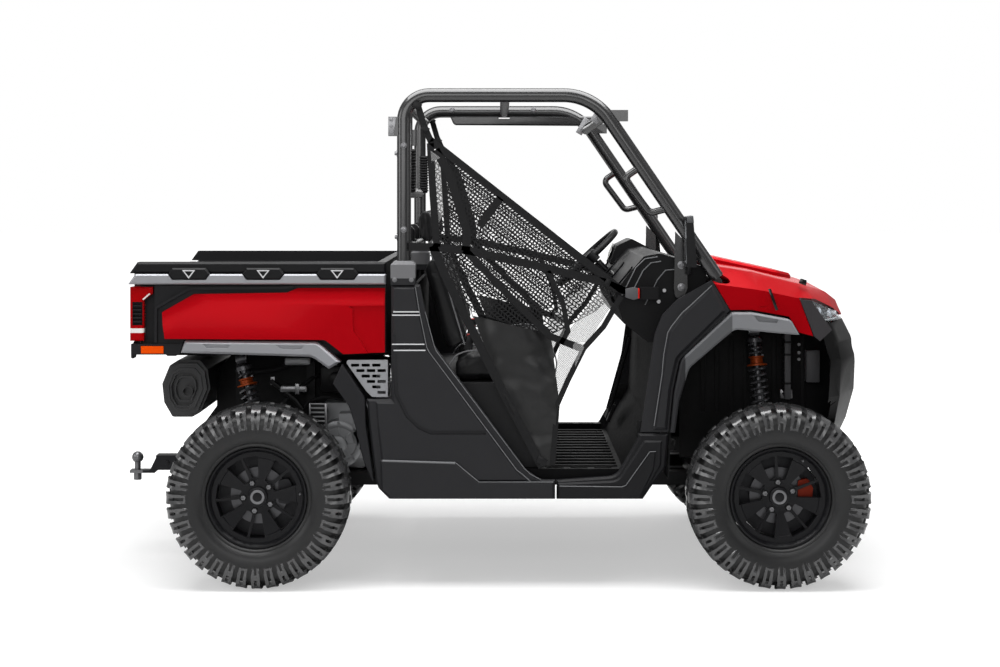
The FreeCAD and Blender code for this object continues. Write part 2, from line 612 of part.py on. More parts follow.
def steering_wheel():
    """Round rim, three spokes and a padded hub."""
    rim_ring = Part.makeTorus(172, 15, WHEEL_CENTRE, WHEEL_AXIS)
    hub = Part.makeCylinder(46, 44, WHEEL_CENTRE - WHEEL_AXIS * 38, WHEEL_AXIS)
    across = V(0, 1, 0)
    down = WHEEL_AXIS.cross(across)
    hub_centre = WHEEL_CENTRE - WHEEL_AXIS * 16
    spokes = [rod(hub_centre, WHEEL_CENTRE + d * 172, 22) for d in (across, across * -1, down)]
    return [fused([rim_ring, hub] + spokes)]


def pedals():
    """Accelerator and brake hanging from the toe board, with the gear lever on the dash."""
    pieces = []
    for y, width in ((330, 56), (450, 90)):
        arm = rod(V(655, y, 900), V(560, y, 560), 16)
        pad = side_plate([(546, 520), (560, 515), (590, 590), (576, 596)], y - width / 2, y + width / 2)
        pieces.append(fused([arm, pad]))
    lever = rod(V(538, 190, 1212), V(490, 190, 1256), 14)
    knob = rod(V(492, 190, 1254), V(456, 190, 1287), 40)
    pieces.append(fused([lever, knob]))
    return pieces


# Outer body, left side mirrored to the right

def rear_side_panels():
    """The tall panel below the rear pillar, layered: shell, raised field with its groove, and rocker."""
    shell = side_plate([
        (-370, 1196), (-256, 1196), (-236, 1090), (-200, 955, 60), (162, 466, 60), (220, 424, 60), (278, 424),
        (278, 350), (-378, 350), (-420, 392), (-432, 424), (-458, 640, 60), (-466, 744), (-370, 744),
    ], SIDE_Y - 34, SIDE_Y - 10)
    shell = chamfered(shell, 8, lambda p: p.y > SIDE_Y - 11)
    field = side_plate([
        (-364, 1188), (-274, 1188), (-258, 1090), (-228, 946, 60), (136, 454, 60), (180, 420),
        (-398, 420), (-424, 640, 60), (-431, 736), (-364, 736),
    ], SIDE_Y - 12, SIDE_Y)
    field = chamfered(field, 8, lambda p: p.y > SIDE_Y - 1)
    groove_line = [(-366, 1000), (-357, 764), (-310, 672), (-263, 628), (-214, 606), (4, 606)]
    groove = side_plate(ribbon(groove_line, 16), SIDE_Y - 7, SIDE_Y + 1)
    louvres = [side_plate([(-352, z), (-352, z + 12), (end, z + 12), (end + 4, z)], SIDE_Y - 6, SIDE_Y + 1)
               for z, end in ((1078, -268), (944, -236))]
    rocker = side_plate([(-372, 353), (-408, 388), (-412, 506), (-113, 496), (-22, 420), (272, 420),
                         (272, 353)],
                        SIDE_Y - 12, SIDE_Y + 8)
    rocker = chamfered(rocker, 7, lambda p: p.y > SIDE_Y + 7)
    cap = chamfered(box(-372, -276, CAGE_Y - 44, SIDE_Y - 4, 1196, 1290), 14, lambda p: p.z > 1280)
    cap = cap.cut(Part.makeCylinder(TUBE / 2, 120, V(PILLAR_X, CAGE_Y, 1190)))
    return both(fused([shell, field.cut([groove] + louvres), rocker])) + both(cap)


def sill_panels():
    """Front half of the sill, rising into the foot of the cowl, with its raised rocker."""
    outline = [(284, 424), (520, 440, 60), (606, 590), (606, 608), (726, 608), (714, 474, 30), (664, 408, 30),
               (624, 350), (284, 350)]
    panel = chamfered(side_plate(outline, SIDE_Y - 40, SIDE_Y - 8), 8, lambda p: p.y > SIDE_Y - 9)
    layer = side_plate([(288, 414), (524, 424, 50), (628, 582), (700, 582), (696, 484, 30), (656, 414, 30),
                        (618, 354),
                        (288, 354)], SIDE_Y - 10, SIDE_Y)
    rocker = side_plate([(290, 404), (548, 400, 20), (650, 540), (676, 540), (668, 470), (640, 410),
                         (614, 357), (290, 357)],
                        SIDE_Y - 2, SIDE_Y + 7)
    layer = chamfered(layer, 7, lambda p: p.y > SIDE_Y - 1)
    rocker = chamfered(rocker, 6, lambda p: p.y > SIDE_Y + 6)
    return both(fused([panel, layer, rocker]))


def threshold():
    """Step strip along the floor's left edge, with its row of drain slots."""
    strip = box(-150, 540, CAB_HALF_WIDTH, SIDE_Y - 44, FLOOR_Z - 16, FLOOR_Z + 24)
    slots = [plan_plate([(x, 652, 5), (x + 70, 652, 5), (x + 70, 676, 5), (x, 676, 5)], FLOOR_Z + 14,
                        FLOOR_Z + 26)
             for x in range(-40, 460, 95)]
    return strip.cut(slots)


def cowl_panels():
    """Dark panel from the hood's rear corner down to the sill, with a folded rear edge."""
    outline = [
        (898, 1214), (762, 1138, 50), (702, 1077, 50), (672, 1001, 60), (641, 776, 60), (616, 614), (726, 614),
        (742, 776, 60), (769, 900, 60), (968, 1094),
    ]
    face = [
        (900, 1196), (786, 1094, 50), (722, 1010, 60), (700, 850, 80), (664, 622), (720, 622),
        (735, 778, 60), (762, 906, 60), (952, 1092),
    ]
    panel = side_plate(outline, SIDE_Y - 34, SIDE_Y - 16)
    raised = chamfered(side_plate(face, SIDE_Y - 18, SIDE_Y - 2), 12, lambda p: p.y > SIDE_Y - 3)
    return both(fused([panel, raised]))


def arch_flares():
    """Arch trims over each front wheel and ahead of each rear wheel, with the lamp frames ahead of them."""
    outline = [
        (975, 1088), (1055, 1088), (1206, 1060, 30), (1240, 1000), (1226, 1000), (985, 1022, 40),
        (806, 869, 60),
        (766, 737, 60), (750, 614), (732, 614), (748, 776, 60), (775, 903, 60),
    ]
    flare = chamfered(side_plate(outline, SIDE_Y - 70, SIDE_Y + 12), 7, lambda p: p.y > SIDE_Y + 11)
    slot = side_plate([(1060, 1076), (1078, 1052), (1152, 1047), (1158, 1060)], SIDE_Y + 3, SIDE_Y + 20)
    rear_outline = [(-563, 884), (-474, 751, 40), (-470, 641, 40), (-438, 424), (-446, 424), (-478, 500),
                    (-512, 641, 60), (-536, 717, 40), (-600, 806)]
    rear = chamfered(side_plate(rear_outline, SIDE_Y - 56, SIDE_Y), 3, lambda p: p.y > SIDE_Y - 1)
    frame_outline = [(1250, 1136), (1296, 1132), (1392, 1010), (1336, 968), (1308, 990)]
    lamp_frame = side_plate(frame_outline, 500, SIDE_Y).common(corner_band(14, 1300))
    return both(flare.cut(slot)) + both(rear) + both(lamp_frame)


def wheel_liners():
    """Dark inner walls between each wheel and the cab, from the arch trims inwards."""
    front = [(728, 420), (735, 600), (752, 737), (790, 858), (915, 975), (985, 1000)]
    rear = [(-433, 424), (-465, 475), (-488, 641), (-510, 717), (-570, 794)]
    pieces = both(side_plate(ribbon(front, -6), 330, SIDE_Y - 70))
    return pieces + both(side_plate(ribbon(rear, 6), 336, SIDE_Y - 56))


def side_vents():
    """Bright grille ahead of each rear wheel: a frame filled with rows of staggered slots."""
    outline = [(-556, 898, 10), (-384, 898), (-384, 752), (-446, 752, 8), (-470, 776)]
    plate = side_plate(outline, SIDE_Y - 34, SIDE_Y - 22)
    slots = []
    for row in range(6):
        z = 764 + row * 21.5
        for column in range(5):
            x = -392 - column * 42 - (21 if row % 2 else 0)
            if x - 32 > -472 - (z - 776) * 0.7:
                slots.append(side_plate([(x, z, 3), (x - 33, z, 3), (x - 33, z + 12, 3), (x, z + 12, 3)],
                                        SIDE_Y - 40, SIDE_Y - 10))
    return both(plate.cut(slots))


FENDER_Y = 716.0
NOSE_STATIONS = (
    # x, centre height, shoulder half width and height, side half width, side top height
    (900, 1290, 600, 1268, FENDER_Y, 1200),
    (1080, 1254, 590, 1240, FENDER_Y, 1176),
    (1300, 1206, 548, 1184, 690, 1130),
    (1400, 1172, 440, 1152, 590, 1096),
    (1460, 1132, 340, 1114, 450, 1062),
    (1494, 1080, 250, 1070, 340, 1040),
)
FENDER_OUTLINE = [
    (902, 1300), (902, 1212), (972, 1096), (1055, 1097), (1206, 1069), (1246, 1006), (1304, 990), (1246, 1144),
    (1320, 1136), (1400, 1098), (1470, 1056), (1500, 1056), (1500, 1300),
]


def front_shell(inset):
    """The closed form of the painted nose, drawn in by inset, as a ruled loft of front-view sections."""
    bottom = 970.0
    wires = []
    for x, top, shoulder_y, shoulder_z, side_y, side_z in NOSE_STATIONS:
        section = [(side_y - inset, bottom), (side_y - inset, side_z - inset),
                   (shoulder_y - inset, shoulder_z - inset),
                   (0, top - inset)]
        section = section + [(-y, z) for y, z in reversed(section[:-1])]
        depth = inset if x == NOSE_STATIONS[-1][0] else 0
        corners = [V(x - depth, y, z) for y, z in section]
        wires.append(Part.makePolygon(corners + corners[:1]))
    return Part.makeLoft(wires, True, True)


def nose_skin():
    """The painted nose as an open shell, before it is split into hood and fenders."""
    return front_shell(0).cut(front_shell(9))


def lid_region(gap):
    """The plan of the hood lid, grown by the shut line's gap."""
    edge = [(904 - gap, 446 + gap), (1290, 436 + gap), (1400, 372 + gap), (1466, 300 + gap),
            (1500 + gap, 262 + gap)]
    return plan_plate(edge + [(x, -y) for x, y in reversed(edge)], 1046 - gap, 1330)


def front_fenders():
    """Painted side of the nose, with a slanted intake recess and the lip below it."""
    side = side_plate(FENDER_OUTLINE, 180, SIDE_Y + 20)
    pillar = rod(V(1000, CAGE_Y, 1112), V(840, CAGE_Y, 1347), TUBE + 12)
    fender = nose_skin().common(side).cut([pillar, lid_region(6)])
    recess = side_plate([(1100, 1170), (1124, 1180), (1162, 1106), (1146, 1100), (1086, 1108), (1130, 1116)],
                        FENDER_Y - 6, FENDER_Y + 4)
    return both(fender.cut(recess))


def hood():
    """Hood lid with its raised centre and two pressed lines."""
    lid = nose_skin().common(lid_region(0))
    rise = [(924, 336, 20), (1230, 306, 40), (1292, 236, 20), (1292, -236, 20), (1230, -306, 40),
            (924, -336, 20)]
    slope = 0.219
    base = Part.Face(rounded_wire(rise, lambda p: V(p.x, p.y, 1268 - (p.x - 904) * slope)))
    centre = base.extrude(V(0, 0, 36))
    top = 1268 + 36
    centre = chamfered(centre, 9, lambda p: p.z > top - (p.x - 904) * slope - 1)
    lines = []
    for y in (-180, 180):
        face = Part.Face(rounded_wire([(960, y - 7), (960, y + 7), (1250, y * 0.8 + 7), (1250, y * 0.8 - 7)],
                                      lambda p: V(p.x, p.y, top - 5 - (p.x - 904) * slope)))
        lines.append(face.extrude(V(0, 0, 20)))
    return [fused([lid, centre]).cut(lines)]


CORNER_LINE = [(1180, 716), (1300, 690), (1392, 622), (1440, 556), (1486, 420)]


def corner_band(thickness, top):
    """A wall that follows the plan of the vehicle's front corner, for trimming what wraps round it."""
    return plan_plate(ribbon(CORNER_LINE, -thickness), 600, top)


def fascia():
    """Front fascia: a raked black shell with side walls, a honeycomb grille and a lower intake."""
    levels = (
        # height, rear edge x and half width, corner x and half width, centre x and half width
        (540, 1398, 404, 1424, 380, 1496, 220),
        (612, 1389, 474, 1428, 484, 1520, 260),
        (737, 1386, 584, 1438, 544, 1550, 280),
        (883, 1389, 610, 1440, 566, FRONT_END_X, 280),
        (950, 1366, 622, 1428, 562, 1540, 290),
        (1034, 1336, 640, 1396, 574, 1496, 300),
    )

    def loft(inset):
        wires = []
        for z, rear_x, rear_y, corner_x, corner_y, centre_x, centre_y in levels:
            side = [(rear_x, rear_y - inset), (corner_x - inset * 0.7, corner_y - inset * 0.7),
                    (centre_x - inset, centre_y - inset * 0.3)]
            corners = [V(x, y, z) for x, y in side] + [V(x, -y, z) for x, y in reversed(side)]
            wires.append(Part.makePolygon(corners + corners[:1]))
        return Part.makeLoft(wires, True, True)

    shell = loft(0).cut(loft(12)).cut(box(1200, 1400, -560, 560, 500, 1100))
    grille_outline = [(-250, 800, 20), (-318, 920, 30), (-270, 1000, 20), (270, 1000, 20), (318, 920, 30),
                      (250, 800, 20)]
    intake_outline = [(-230, 610, 16), (-262, 730, 16), (262, 730, 16), (230, 610, 16)]
    shell = shell.cut([front_plate(grille_outline, 1400, 1600), front_plate(intake_outline, 1400, 1600)])
    slots = both(side_plate([(1398, 640), (1398, 700), (1424, 716), (1424, 650)], 540, 640))
    shell = shell.cut(slots)
    mesh = front_plate([(-300, 786), (-336, 920), (-280, 1012), (280, 1012), (336, 920), (300, 786)], 1496,
                       1502)
    holes = []
    radius, pitch = 18.0, 44.0
    for row in range(6):
        for column in range(-6, 7):
            y = (column + (row % 2) / 2) * pitch
            z = 816 + row * 34
            if abs(y) > 262 - abs(z - 915) * 0.25:
                continue
            corners = [math.radians(60 * k) for k in range(6)]
            hexagon = [(y + radius * math.sin(a), z + radius * math.cos(a)) for a in corners]
            holes.append(front_plate(hexagon, 1490, 1510))
    return [fused([shell, mesh.cut(holes)])]


def headlamps():
    """Wrapped lamp units in the corners between fender, hood and fascia."""
    plan = ribbon([(1302, 664), (1384, 600), (1430, 536), (1470, 420)], -52)
    profile = [(1250, 1042), (1250, 1130), (1312, 1128), (1396, 1092), (1470, 1048), (1470, 1042)]
    lamp = plan_plate(plan, 1042, 1130).common(side_plate(profile, 300, 700))
    return both(lamp)


def radiator():
    """Cooling pack behind the grille."""
    return [box(1330, 1372, -300, 300, 600, 960)]


def mirrors():
    """Upright side mirror on a short bracket from the front pillar."""
    head = side_plate([(790, 1268, 6), (786, 1462, 8), (814, 1470, 8), (830, 1268, 6)], 704, 802)
    stalk = rod(V(806, CAGE_Y + 20, 1240), V(808, 740, 1300), 20)
    return both(fused([head, stalk]))


def net(side):
    """Side net, a flat sheet hung between the cage, the floor and the dash latch."""
    outline = [(-324, 1912), (-300, 1922), (-205, 1772), (545, 1180), (606, 1176), (606, 1140), (530, 1128),
               (410, 960), (300, 740), (276, 470), (206, 470), (60, 778), (-83, 1016), (-154, 1202),
               (-196, 1365),
               (-236, 1745)]
    y = side * (CAGE_Y + TUBE / 2 + 4)
    return [side_plate(outline, y - 2, y + 2)]


# Cargo bed

def bed_tub():
    """Floor, walls with their side skins, corner bars and pivot ears; open at the rear for the tailgate."""
    wall = 14.0
    inside = BED_HALF_WIDTH - 40
    floor_top = BED_FLOOR_Z + wall
    outer = box(BED_REAR_X, BED_FRONT_X, -inside - wall, inside + wall, BED_FLOOR_Z, BED_RAIL_Z)
    hollow = box(BED_REAR_X - 10, BED_FRONT_X - wall, -inside, inside, floor_top, 1300)
    tub = outer.cut(hollow)
    ears = []
    for y in (332, -346):
        ear = side_plate([(BED_PIVOT.x - 30, BED_FLOOR_Z + 2), (BED_PIVOT.x - 20, BED_PIVOT.z - 18, 8),
                          (BED_PIVOT.x + 20, BED_PIVOT.z - 18, 8), (BED_PIVOT.x + 60, BED_FLOOR_Z + 2)], y,
                          y + 12)
        ears.append(ear.cut(rod(V(BED_PIVOT.x, y - 2, BED_PIVOT.z), V(BED_PIVOT.x, y + 14, BED_PIVOT.z),
                                20 + 2 * PIN_GAP)))
    ribs = [box(x, x + 26, -inside, inside, floor_top, floor_top + 8) for x in range(-1340, -440, 110)]
    stiffeners = [box(x, x + 34, inside - 9, inside, floor_top, BED_RAIL_Z - 24)
                  for x in range(-1290, -440, 205)]
    skin = side_plate([(-1312, 1192), (BED_FRONT_X, 1192), (BED_FRONT_X, 930), (-546, 924), (-655, 976),
                       (-1194, 976), (-1212, 928), (-1312, 928)], inside, BED_HALF_WIDTH)
    ridge = ribbon([(-1300, 966), (-1300, 1100), (-1172, 1174), (-792, 1177), (-758, 1182)], 11)
    bar = side_plate([(-1403, 960), (-1198, 960), (-1212, 918), (-1392, 918), (-1396, 902), (-1403, 906)],
                     inside - 10, BED_HALF_WIDTH + 10)
    lens_seat = box(-1364, -1273, BED_HALF_WIDTH + 2, BED_HALF_WIDTH + 20, 922, 953)
    lug = side_plate([(-1404, 930), (-1404, 970, 10), (-1376, 970, 10), (-1376, 930)], inside - 14, inside + 2)
    bore = rod(TAILGATE_PIVOT + V(0, inside - 16, 0), TAILGATE_PIVOT + V(0, inside + 3, 0), 16 + 2 * PIN_GAP)
    side = fused([skin, side_plate(ridge, inside, BED_HALF_WIDTH + 12), bar, lug] + stiffeners)
    side = side.cut([lens_seat, bore])
    return [fused([tub] + ears + ribs + both(side))]


TIE_DOWNS = (-1171.0, -877.0, -584.0)


def tie_down_block(x, grow, y1):
    """Six-sided block on the side rail at x; grow enlarges it for the notch that it sits in."""
    tip, shoulder, half = 83 + grow, 66 + grow * 0.6, 23 + grow
    z = 1239
    return side_plate([(x - tip, z), (x - shoulder, z + half), (x + shoulder, z + half), (x + tip, z),
                       (x + shoulder, z - half), (x - shoulder, z - half)], BED_HALF_WIDTH - 10 - grow, y1)


def bed_rails():
    """Cap rail round the top of the bed with its tie-down blocks, each marked by a raised triangle."""
    rail = side_plate([(-1410, BED_RAIL_Z), (-1378, BED_TOP_Z), (BED_FRONT_X, BED_TOP_Z),
                       (BED_FRONT_X, BED_RAIL_Z)],
                      BED_HALF_WIDTH - 40, BED_HALF_WIDTH + 12)
    rail = chamfered(rail, 8, lambda p: p.y > BED_HALF_WIDTH + 11)
    face_y = BED_HALF_WIDTH + 27
    blocks = []
    for x in TIE_DOWNS:
        block = chamfered(tie_down_block(x, 0, face_y), 6, lambda p: p.y > face_y - 1)
        mark = side_plate([(x - 26, 1254), (x + 26, 1254), (x, 1220)], face_y - 1, face_y + 2)
        inner = side_plate([(x - 17, 1249.5), (x + 17, 1249.5), (x, 1228)], face_y - 2, face_y + 3)
        blocks += [block, mark.cut(inner)]
    front = box(BED_FRONT_X - 36, BED_FRONT_X, 30 - BED_HALF_WIDTH, BED_HALF_WIDTH - 30, BED_RAIL_Z, BED_TOP_Z)
    side = fused([rail] + blocks)
    return [fused([side, mirrored(side), front])]


def bed_strips():
    """Bright strips under the cap rails and along the lower edge, the lower with two slanted recesses."""
    upper = side_plate([(-1413, 1197), (-1384, 1238), (BED_FRONT_X, 1238), (BED_FRONT_X, 1197)],
                       BED_HALF_WIDTH - 10,
                       BED_HALF_WIDTH + 24)
    upper = chamfered(upper, 6, lambda p: p.y > BED_HALF_WIDTH + 23)
    upper = upper.cut([tie_down_block(x, 1, BED_HALF_WIDTH + 40) for x in TIE_DOWNS])
    lower = side_plate([(-1188, 974), (-662, 970, 40), (-570, 890), (-618, 862), (-684, 910, 60), (-1204, 926)],
                       BED_HALF_WIDTH - 26, BED_HALF_WIDTH + 28)
    lower = chamfered(lower, 10, lambda p: p.y > BED_HALF_WIDTH + 27)
    recesses = [side_plate([(x, z), (x + 108, z - 2), (x + 98, z - 15), (x + 16, z - 13)], BED_HALF_WIDTH + 19,
                           BED_HALF_WIDTH + 30) for x, z in ((-1116, 960), (-824, 956))]
    return both(upper) + both(lower.cut(recesses))


def plane_off(start, finish, y, slope):
    """Wedge that planes a side face off above the line start to finish, by slope per millimetre."""
    overrun, reach, outside = 400, 300, V(0, 20, 0)
    first, last = V(start[0], y, start[1]), V(finish[0], y, finish[1])
    along = (last - first).normalize()
    first, last = first - along * overrun, last + along * overrun
    far = first + V(-along.z, 0, along.x) * reach
    face = Part.Face(Part.makePolygon([first, far - V(0, slope * reach, 0), far + outside, first + outside,
                                       first]))
    return face.extrude(last - first)


def bed_panels():
    """Painted side panels: a flat field, two planes that fall away from its crease and a recess in front."""
    face_y = BED_HALF_WIDTH + 29
    outline = [(-1281, 1086), (-1155, 1158), (-785, 1164), (-742, 1182), (-396, 1182), (-396, 928), (-560, 922),
               (-632, 978, 30), (-1266, 982)]
    panel = side_plate(outline, BED_HALF_WIDTH + 1, face_y)
    panel = panel.cut([plane_off((-1086, 1130), (-394, 1130), face_y, 0.5),
                       plane_off((-1174, 1086), (-1086, 1130), face_y, 0.5)])
    recess = [(-539, 1110), (-380, 1112), (-380, 920), (-462, 920), (-486, 966), (-521, 1015), (-523, 1100)]
    panel = panel.cut([side_plate(recess, face_y - 8, face_y + 2)])
    return both(panel)


def tail_lamps():
    """Upright ribbed lamp units in the rear corners, and the side markers in the bars under them."""
    face_y = BED_HALF_WIDTH + 8
    lamp = side_plate([(-1408, 972), (-1408, 1186), (-1318, 1186), (-1318, 1160), (-1354, 1134), (-1354, 972)],
                      BED_HALF_WIDTH - 66, face_y)
    lamp = chamfered(lamp, 6, lambda p: p.y > face_y - 1)
    slots = [side_plate([(-1394, z), (-1394, z + 8), (-1362, z + 8), (-1362, z)], face_y - 6, face_y + 2)
             for z in range(1038, 1120, 14)]
    corner = box(BED_REAR_X - 0.5, BED_FRONT_X, 0, BED_HALF_WIDTH - 25.5, BED_FLOOR_Z, BED_RAIL_Z)
    marker = box(-1363, -1274, BED_HALF_WIDTH + 2, BED_HALF_WIDTH + 13, 923, 952)
    return both(lamp.cut(slots + [corner])) + both(marker)


def tailgate():
    """Drop-down tailgate with a pressed panel, its latch handle and the hinge pins along its lower edge."""
    x = TAILGATE_PIVOT.x
    skin = box(x - 18, x + 10, -TAILGATE_HALF, TAILGATE_HALF, TAILGATE_PIVOT.z - 16, BED_RAIL_Z - 4)
    pressed = front_plate([(-560, 990, 30), (-500, 1200, 30), (500, 1200, 30), (560, 990, 30)], x - 26, x - 17)
    inner = front_plate([(-470, 1030, 20), (-436, 1150, 20), (436, 1150, 20), (470, 1030, 20)], x - 27, x - 20)
    handle = chamfered(box(x - 36, x - 17, -95, 95, 1204, 1232), 6, lambda p: p.x < x - 35)
    pins = both(rod(V(x, TAILGATE_HALF - 20, TAILGATE_PIVOT.z), V(x, BED_HALF_WIDTH - 42, TAILGATE_PIVOT.z),
                    16))
    return [fused([skin, pressed.cut(inner), handle] + pins)]


PARTS = {
    "tyre_front_left": lambda: [tyre(FRONT_TYRE_WIDTH, FRONT_RIM_HALF, V(FRONT_AXLE_X, FRONT_WHEEL_Y, AXLE_Z))],
    "tyre_front_right": lambda: [tyre(FRONT_TYRE_WIDTH, FRONT_RIM_HALF,
                                      V(FRONT_AXLE_X, -FRONT_WHEEL_Y, AXLE_Z))],
    "tyre_rear_left": lambda: [tyre(REAR_TYRE_WIDTH, REAR_RIM_HALF, V(REAR_AXLE_X, REAR_WHEEL_Y, AXLE_Z))],
    "tyre_rear_right": lambda: [tyre(REAR_TYRE_WIDTH, REAR_RIM_HALF, V(REAR_AXLE_X, -REAR_WHEEL_Y, AXLE_Z))],
    "rim_front_left": lambda: [rim(FRONT_RIM_HALF, V(FRONT_AXLE_X, FRONT_WHEEL_Y, AXLE_Z), FRONT_WHEEL_TURN)],
    "rim_front_right": lambda: [mirrored(rim(FRONT_RIM_HALF, V(FRONT_AXLE_X, FRONT_WHEEL_Y, AXLE_Z),
                                             FRONT_WHEEL_TURN))],
    "rim_rear_left": lambda: [rim(REAR_RIM_HALF, V(REAR_AXLE_X, REAR_WHEEL_Y, AXLE_Z), REAR_WHEEL_TURN)],
    "rim_rear_right": lambda: [mirrored(rim(REAR_RIM_HALF, V(REAR_AXLE_X, REAR_WHEEL_Y, AXLE_Z),
                                            REAR_WHEEL_TURN))],
    "disc_front_left": lambda: [brake_disc(FRONT_RIM_HALF, V(FRONT_AXLE_X, FRONT_WHEEL_Y, AXLE_Z))],
    "disc_front_right": lambda: [mirrored(brake_disc(FRONT_RIM_HALF, V(FRONT_AXLE_X, FRONT_WHEEL_Y, AXLE_Z)))],
    "disc_rear_left": lambda: [brake_disc(REAR_RIM_HALF, V(REAR_AXLE_X, REAR_WHEEL_Y, AXLE_Z))],
    "disc_rear_right": lambda: [mirrored(brake_disc(REAR_RIM_HALF, V(REAR_AXLE_X, REAR_WHEEL_Y, AXLE_Z)))],
    "knuckle_left": lambda: [knuckle()],
    "knuckle_right": lambda: [mirrored(knuckle())],
    "front_arms": front_arms,
    "rear_suspension": rear_suspension,
    "shocks": shocks,
    "half_shafts": half_shafts,
    "tie_rods": tie_rods,
    "frame": frame,
    "skid_plate": skid_plate,
    "engine": engine,
    "gearboxes": gearboxes,
    "exhaust": exhaust,
    "tow_hitch": tow_hitch,
    "cage_left": lambda: [fused([cage_side(), header_pad()])],
    "cage_right": lambda: [mirrored(cage_side())],
    "cage_cross": cage_cross,
    "floor": floor,
    "seat_base": seat_base,
    "seat_cushions": seat_cushions,
    "seat_backs": seat_backs,
    "seat_belts": seat_belts,
    "dashboard": dashboard,
    "steering_wheel": steering_wheel,
    "pedals": pedals,
    "rear_side_panels": rear_side_panels,
    "sill_panels": sill_panels,
    "cowl_panels": cowl_panels,
    "arch_flares": arch_flares,
    "wheel_liners": wheel_liners,
    "side_vents": side_vents,
    "front_fenders": front_fenders,
    "hood": hood,
    "fascia": fascia,
    "headlamps": headlamps,
    "radiator": radiator,
    "mirrors": mirrors,
    "net_left": lambda: net(1),
    "net_right": lambda: net(-1),
    "bed_tub": bed_tub,
    "bed_rails": bed_rails,
    "bed_strips": bed_strips,
    "bed_panels": bed_panels,
    "tail_lamps": tail_lamps,
    "tailgate": tailgate,
}

os.makedirs("parts", exist_ok=True)
for name, build in PARTS.items():
    Part.makeCompound(build()).exportStep(f"parts/{name}.step")
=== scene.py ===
import math

import bmesh
import bpy
from mathutils import Matrix, Vector, noise


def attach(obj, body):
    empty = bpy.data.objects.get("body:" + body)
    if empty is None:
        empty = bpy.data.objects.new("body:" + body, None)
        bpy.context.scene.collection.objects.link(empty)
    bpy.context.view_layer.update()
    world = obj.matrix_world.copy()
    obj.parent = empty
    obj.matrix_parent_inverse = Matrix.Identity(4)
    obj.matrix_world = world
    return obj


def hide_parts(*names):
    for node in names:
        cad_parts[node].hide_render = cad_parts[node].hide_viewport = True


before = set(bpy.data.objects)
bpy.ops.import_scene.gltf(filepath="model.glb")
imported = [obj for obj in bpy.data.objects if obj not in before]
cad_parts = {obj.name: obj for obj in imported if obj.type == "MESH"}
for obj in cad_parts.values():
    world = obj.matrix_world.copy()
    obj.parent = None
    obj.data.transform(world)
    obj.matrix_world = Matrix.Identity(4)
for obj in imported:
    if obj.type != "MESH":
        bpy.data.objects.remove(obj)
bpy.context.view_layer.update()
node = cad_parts
MM = 0.001


# Objects and nodes
def add_object(name, data):
    """A new object in the scene."""
    made = bpy.data.objects.new(name, data)
    bpy.context.scene.collection.objects.link(made)
    return made


def feed(tree, made, inputs):
    """Gives a node's inputs their numbers and links outputs into them."""
    for socket, value in inputs.items():
        if isinstance(value, bpy.types.NodeSocket):
            tree.links.new(value, made.inputs[socket])
        else:
            made.inputs[socket].default_value = value


def feed_surface(tree, inputs):
    """Gives the inputs of a material's shader."""
    feed(tree, tree.nodes["Principled BSDF"], inputs)


def add_node(tree, kind, inputs=None, **settings):
    """A new node with its settings and inputs."""
    made = tree.nodes.new(kind)
    for name, value in settings.items():
        setattr(made, name, value)
    feed(tree, made, inputs or {})
    return made


def maths(tree, operation, *values):
    """The output of a maths node over numbers or outputs."""
    return add_node(tree, "ShaderNodeMath", dict(enumerate(values)), operation=operation).outputs[0]


def object_place(tree):
    """Where a point lies on its object, in metres."""
    return add_node(tree, "ShaderNodeTexCoord").outputs["Object"]


# Studio
# The vehicle stands on a pale floor that fades to white around it. One wide soft box hangs overhead, one
# stands along each side, and a weak one lights the front and the rear corner. The camera stands square to
# the right-hand side.
CAMERA_PLACE = (0.060, -7.400, 1.551)
CAMERA_LENS = 60.84
CAMERA_SHIFT = -0.1385
ROOM_LIGHT = 0.30
WHITE = (1, 1, 1, 1)
FLOOR_GREY = (0.6, 0.6, 0.6, 1)
SOFT_BOXES = (
    ("overhead", (0, -0.6, 4.6), (0, 0, 0.6), (6.0, 3.4), 385),
    ("near_side", (-1.2, -6.0, 2.6), (0, 0, 0.9), (6.0, 2.4), 86),
    ("far_side", (1.0, 6.0, 3.0), (0, 0, 0.9), (5.0, 2.4), 60),
    ("front_corner", (5.0, -2.2, 2.4), (0.8, 0, 0.9), (2.2, 2.6), 20),
    ("rear_corner", (-5.0, -1.8, 2.4), (-0.8, 0, 0.9), (2.2, 2.6), 40),
)
camera = add_object("camera", bpy.data.cameras.new("camera"))
camera.location = CAMERA_PLACE
camera.rotation_euler = (math.radians(90), 0, 0)
camera.data.lens = CAMERA_LENS
camera.data.shift_y = CAMERA_SHIFT
camera.data.clip_end = 200
bpy.context.scene.camera = camera
bpy.context.scene.view_settings.view_transform = "Standard"
for name, place, target, size, power in SOFT_BOXES:
    light = bpy.data.lights.new(name, "AREA")
    light.shape = "RECTANGLE"
    light.size, light.size_y = size
    light.energy = power
    lamp = add_object(name, light)
    lamp.location = place
    lamp.rotation_euler = (Vector(target) - Vector(place)).to_track_quat("-Z", "Y").to_euler()


def seen_directly(tree):
    """A 0 or 1 value: 1 for what the camera sees, also through clear plastic."""
    path = add_node(tree, "ShaderNodeLightPath")
    return maths(tree, "MAXIMUM", path.outputs["Is Camera Ray"], path.outputs["Is Transmission Ray"])


world = bpy.data.worlds.new("studio")
world.use_nodes = True
bpy.context.scene.world = world
room = world.node_tree
strength = add_node(room, "ShaderNodeMapRange", {"Value": seen_directly(room), "To Min": ROOM_LIGHT})
feed(room, room.nodes["Background"], {"Color": WHITE, "Strength": strength.outputs["Result"]})

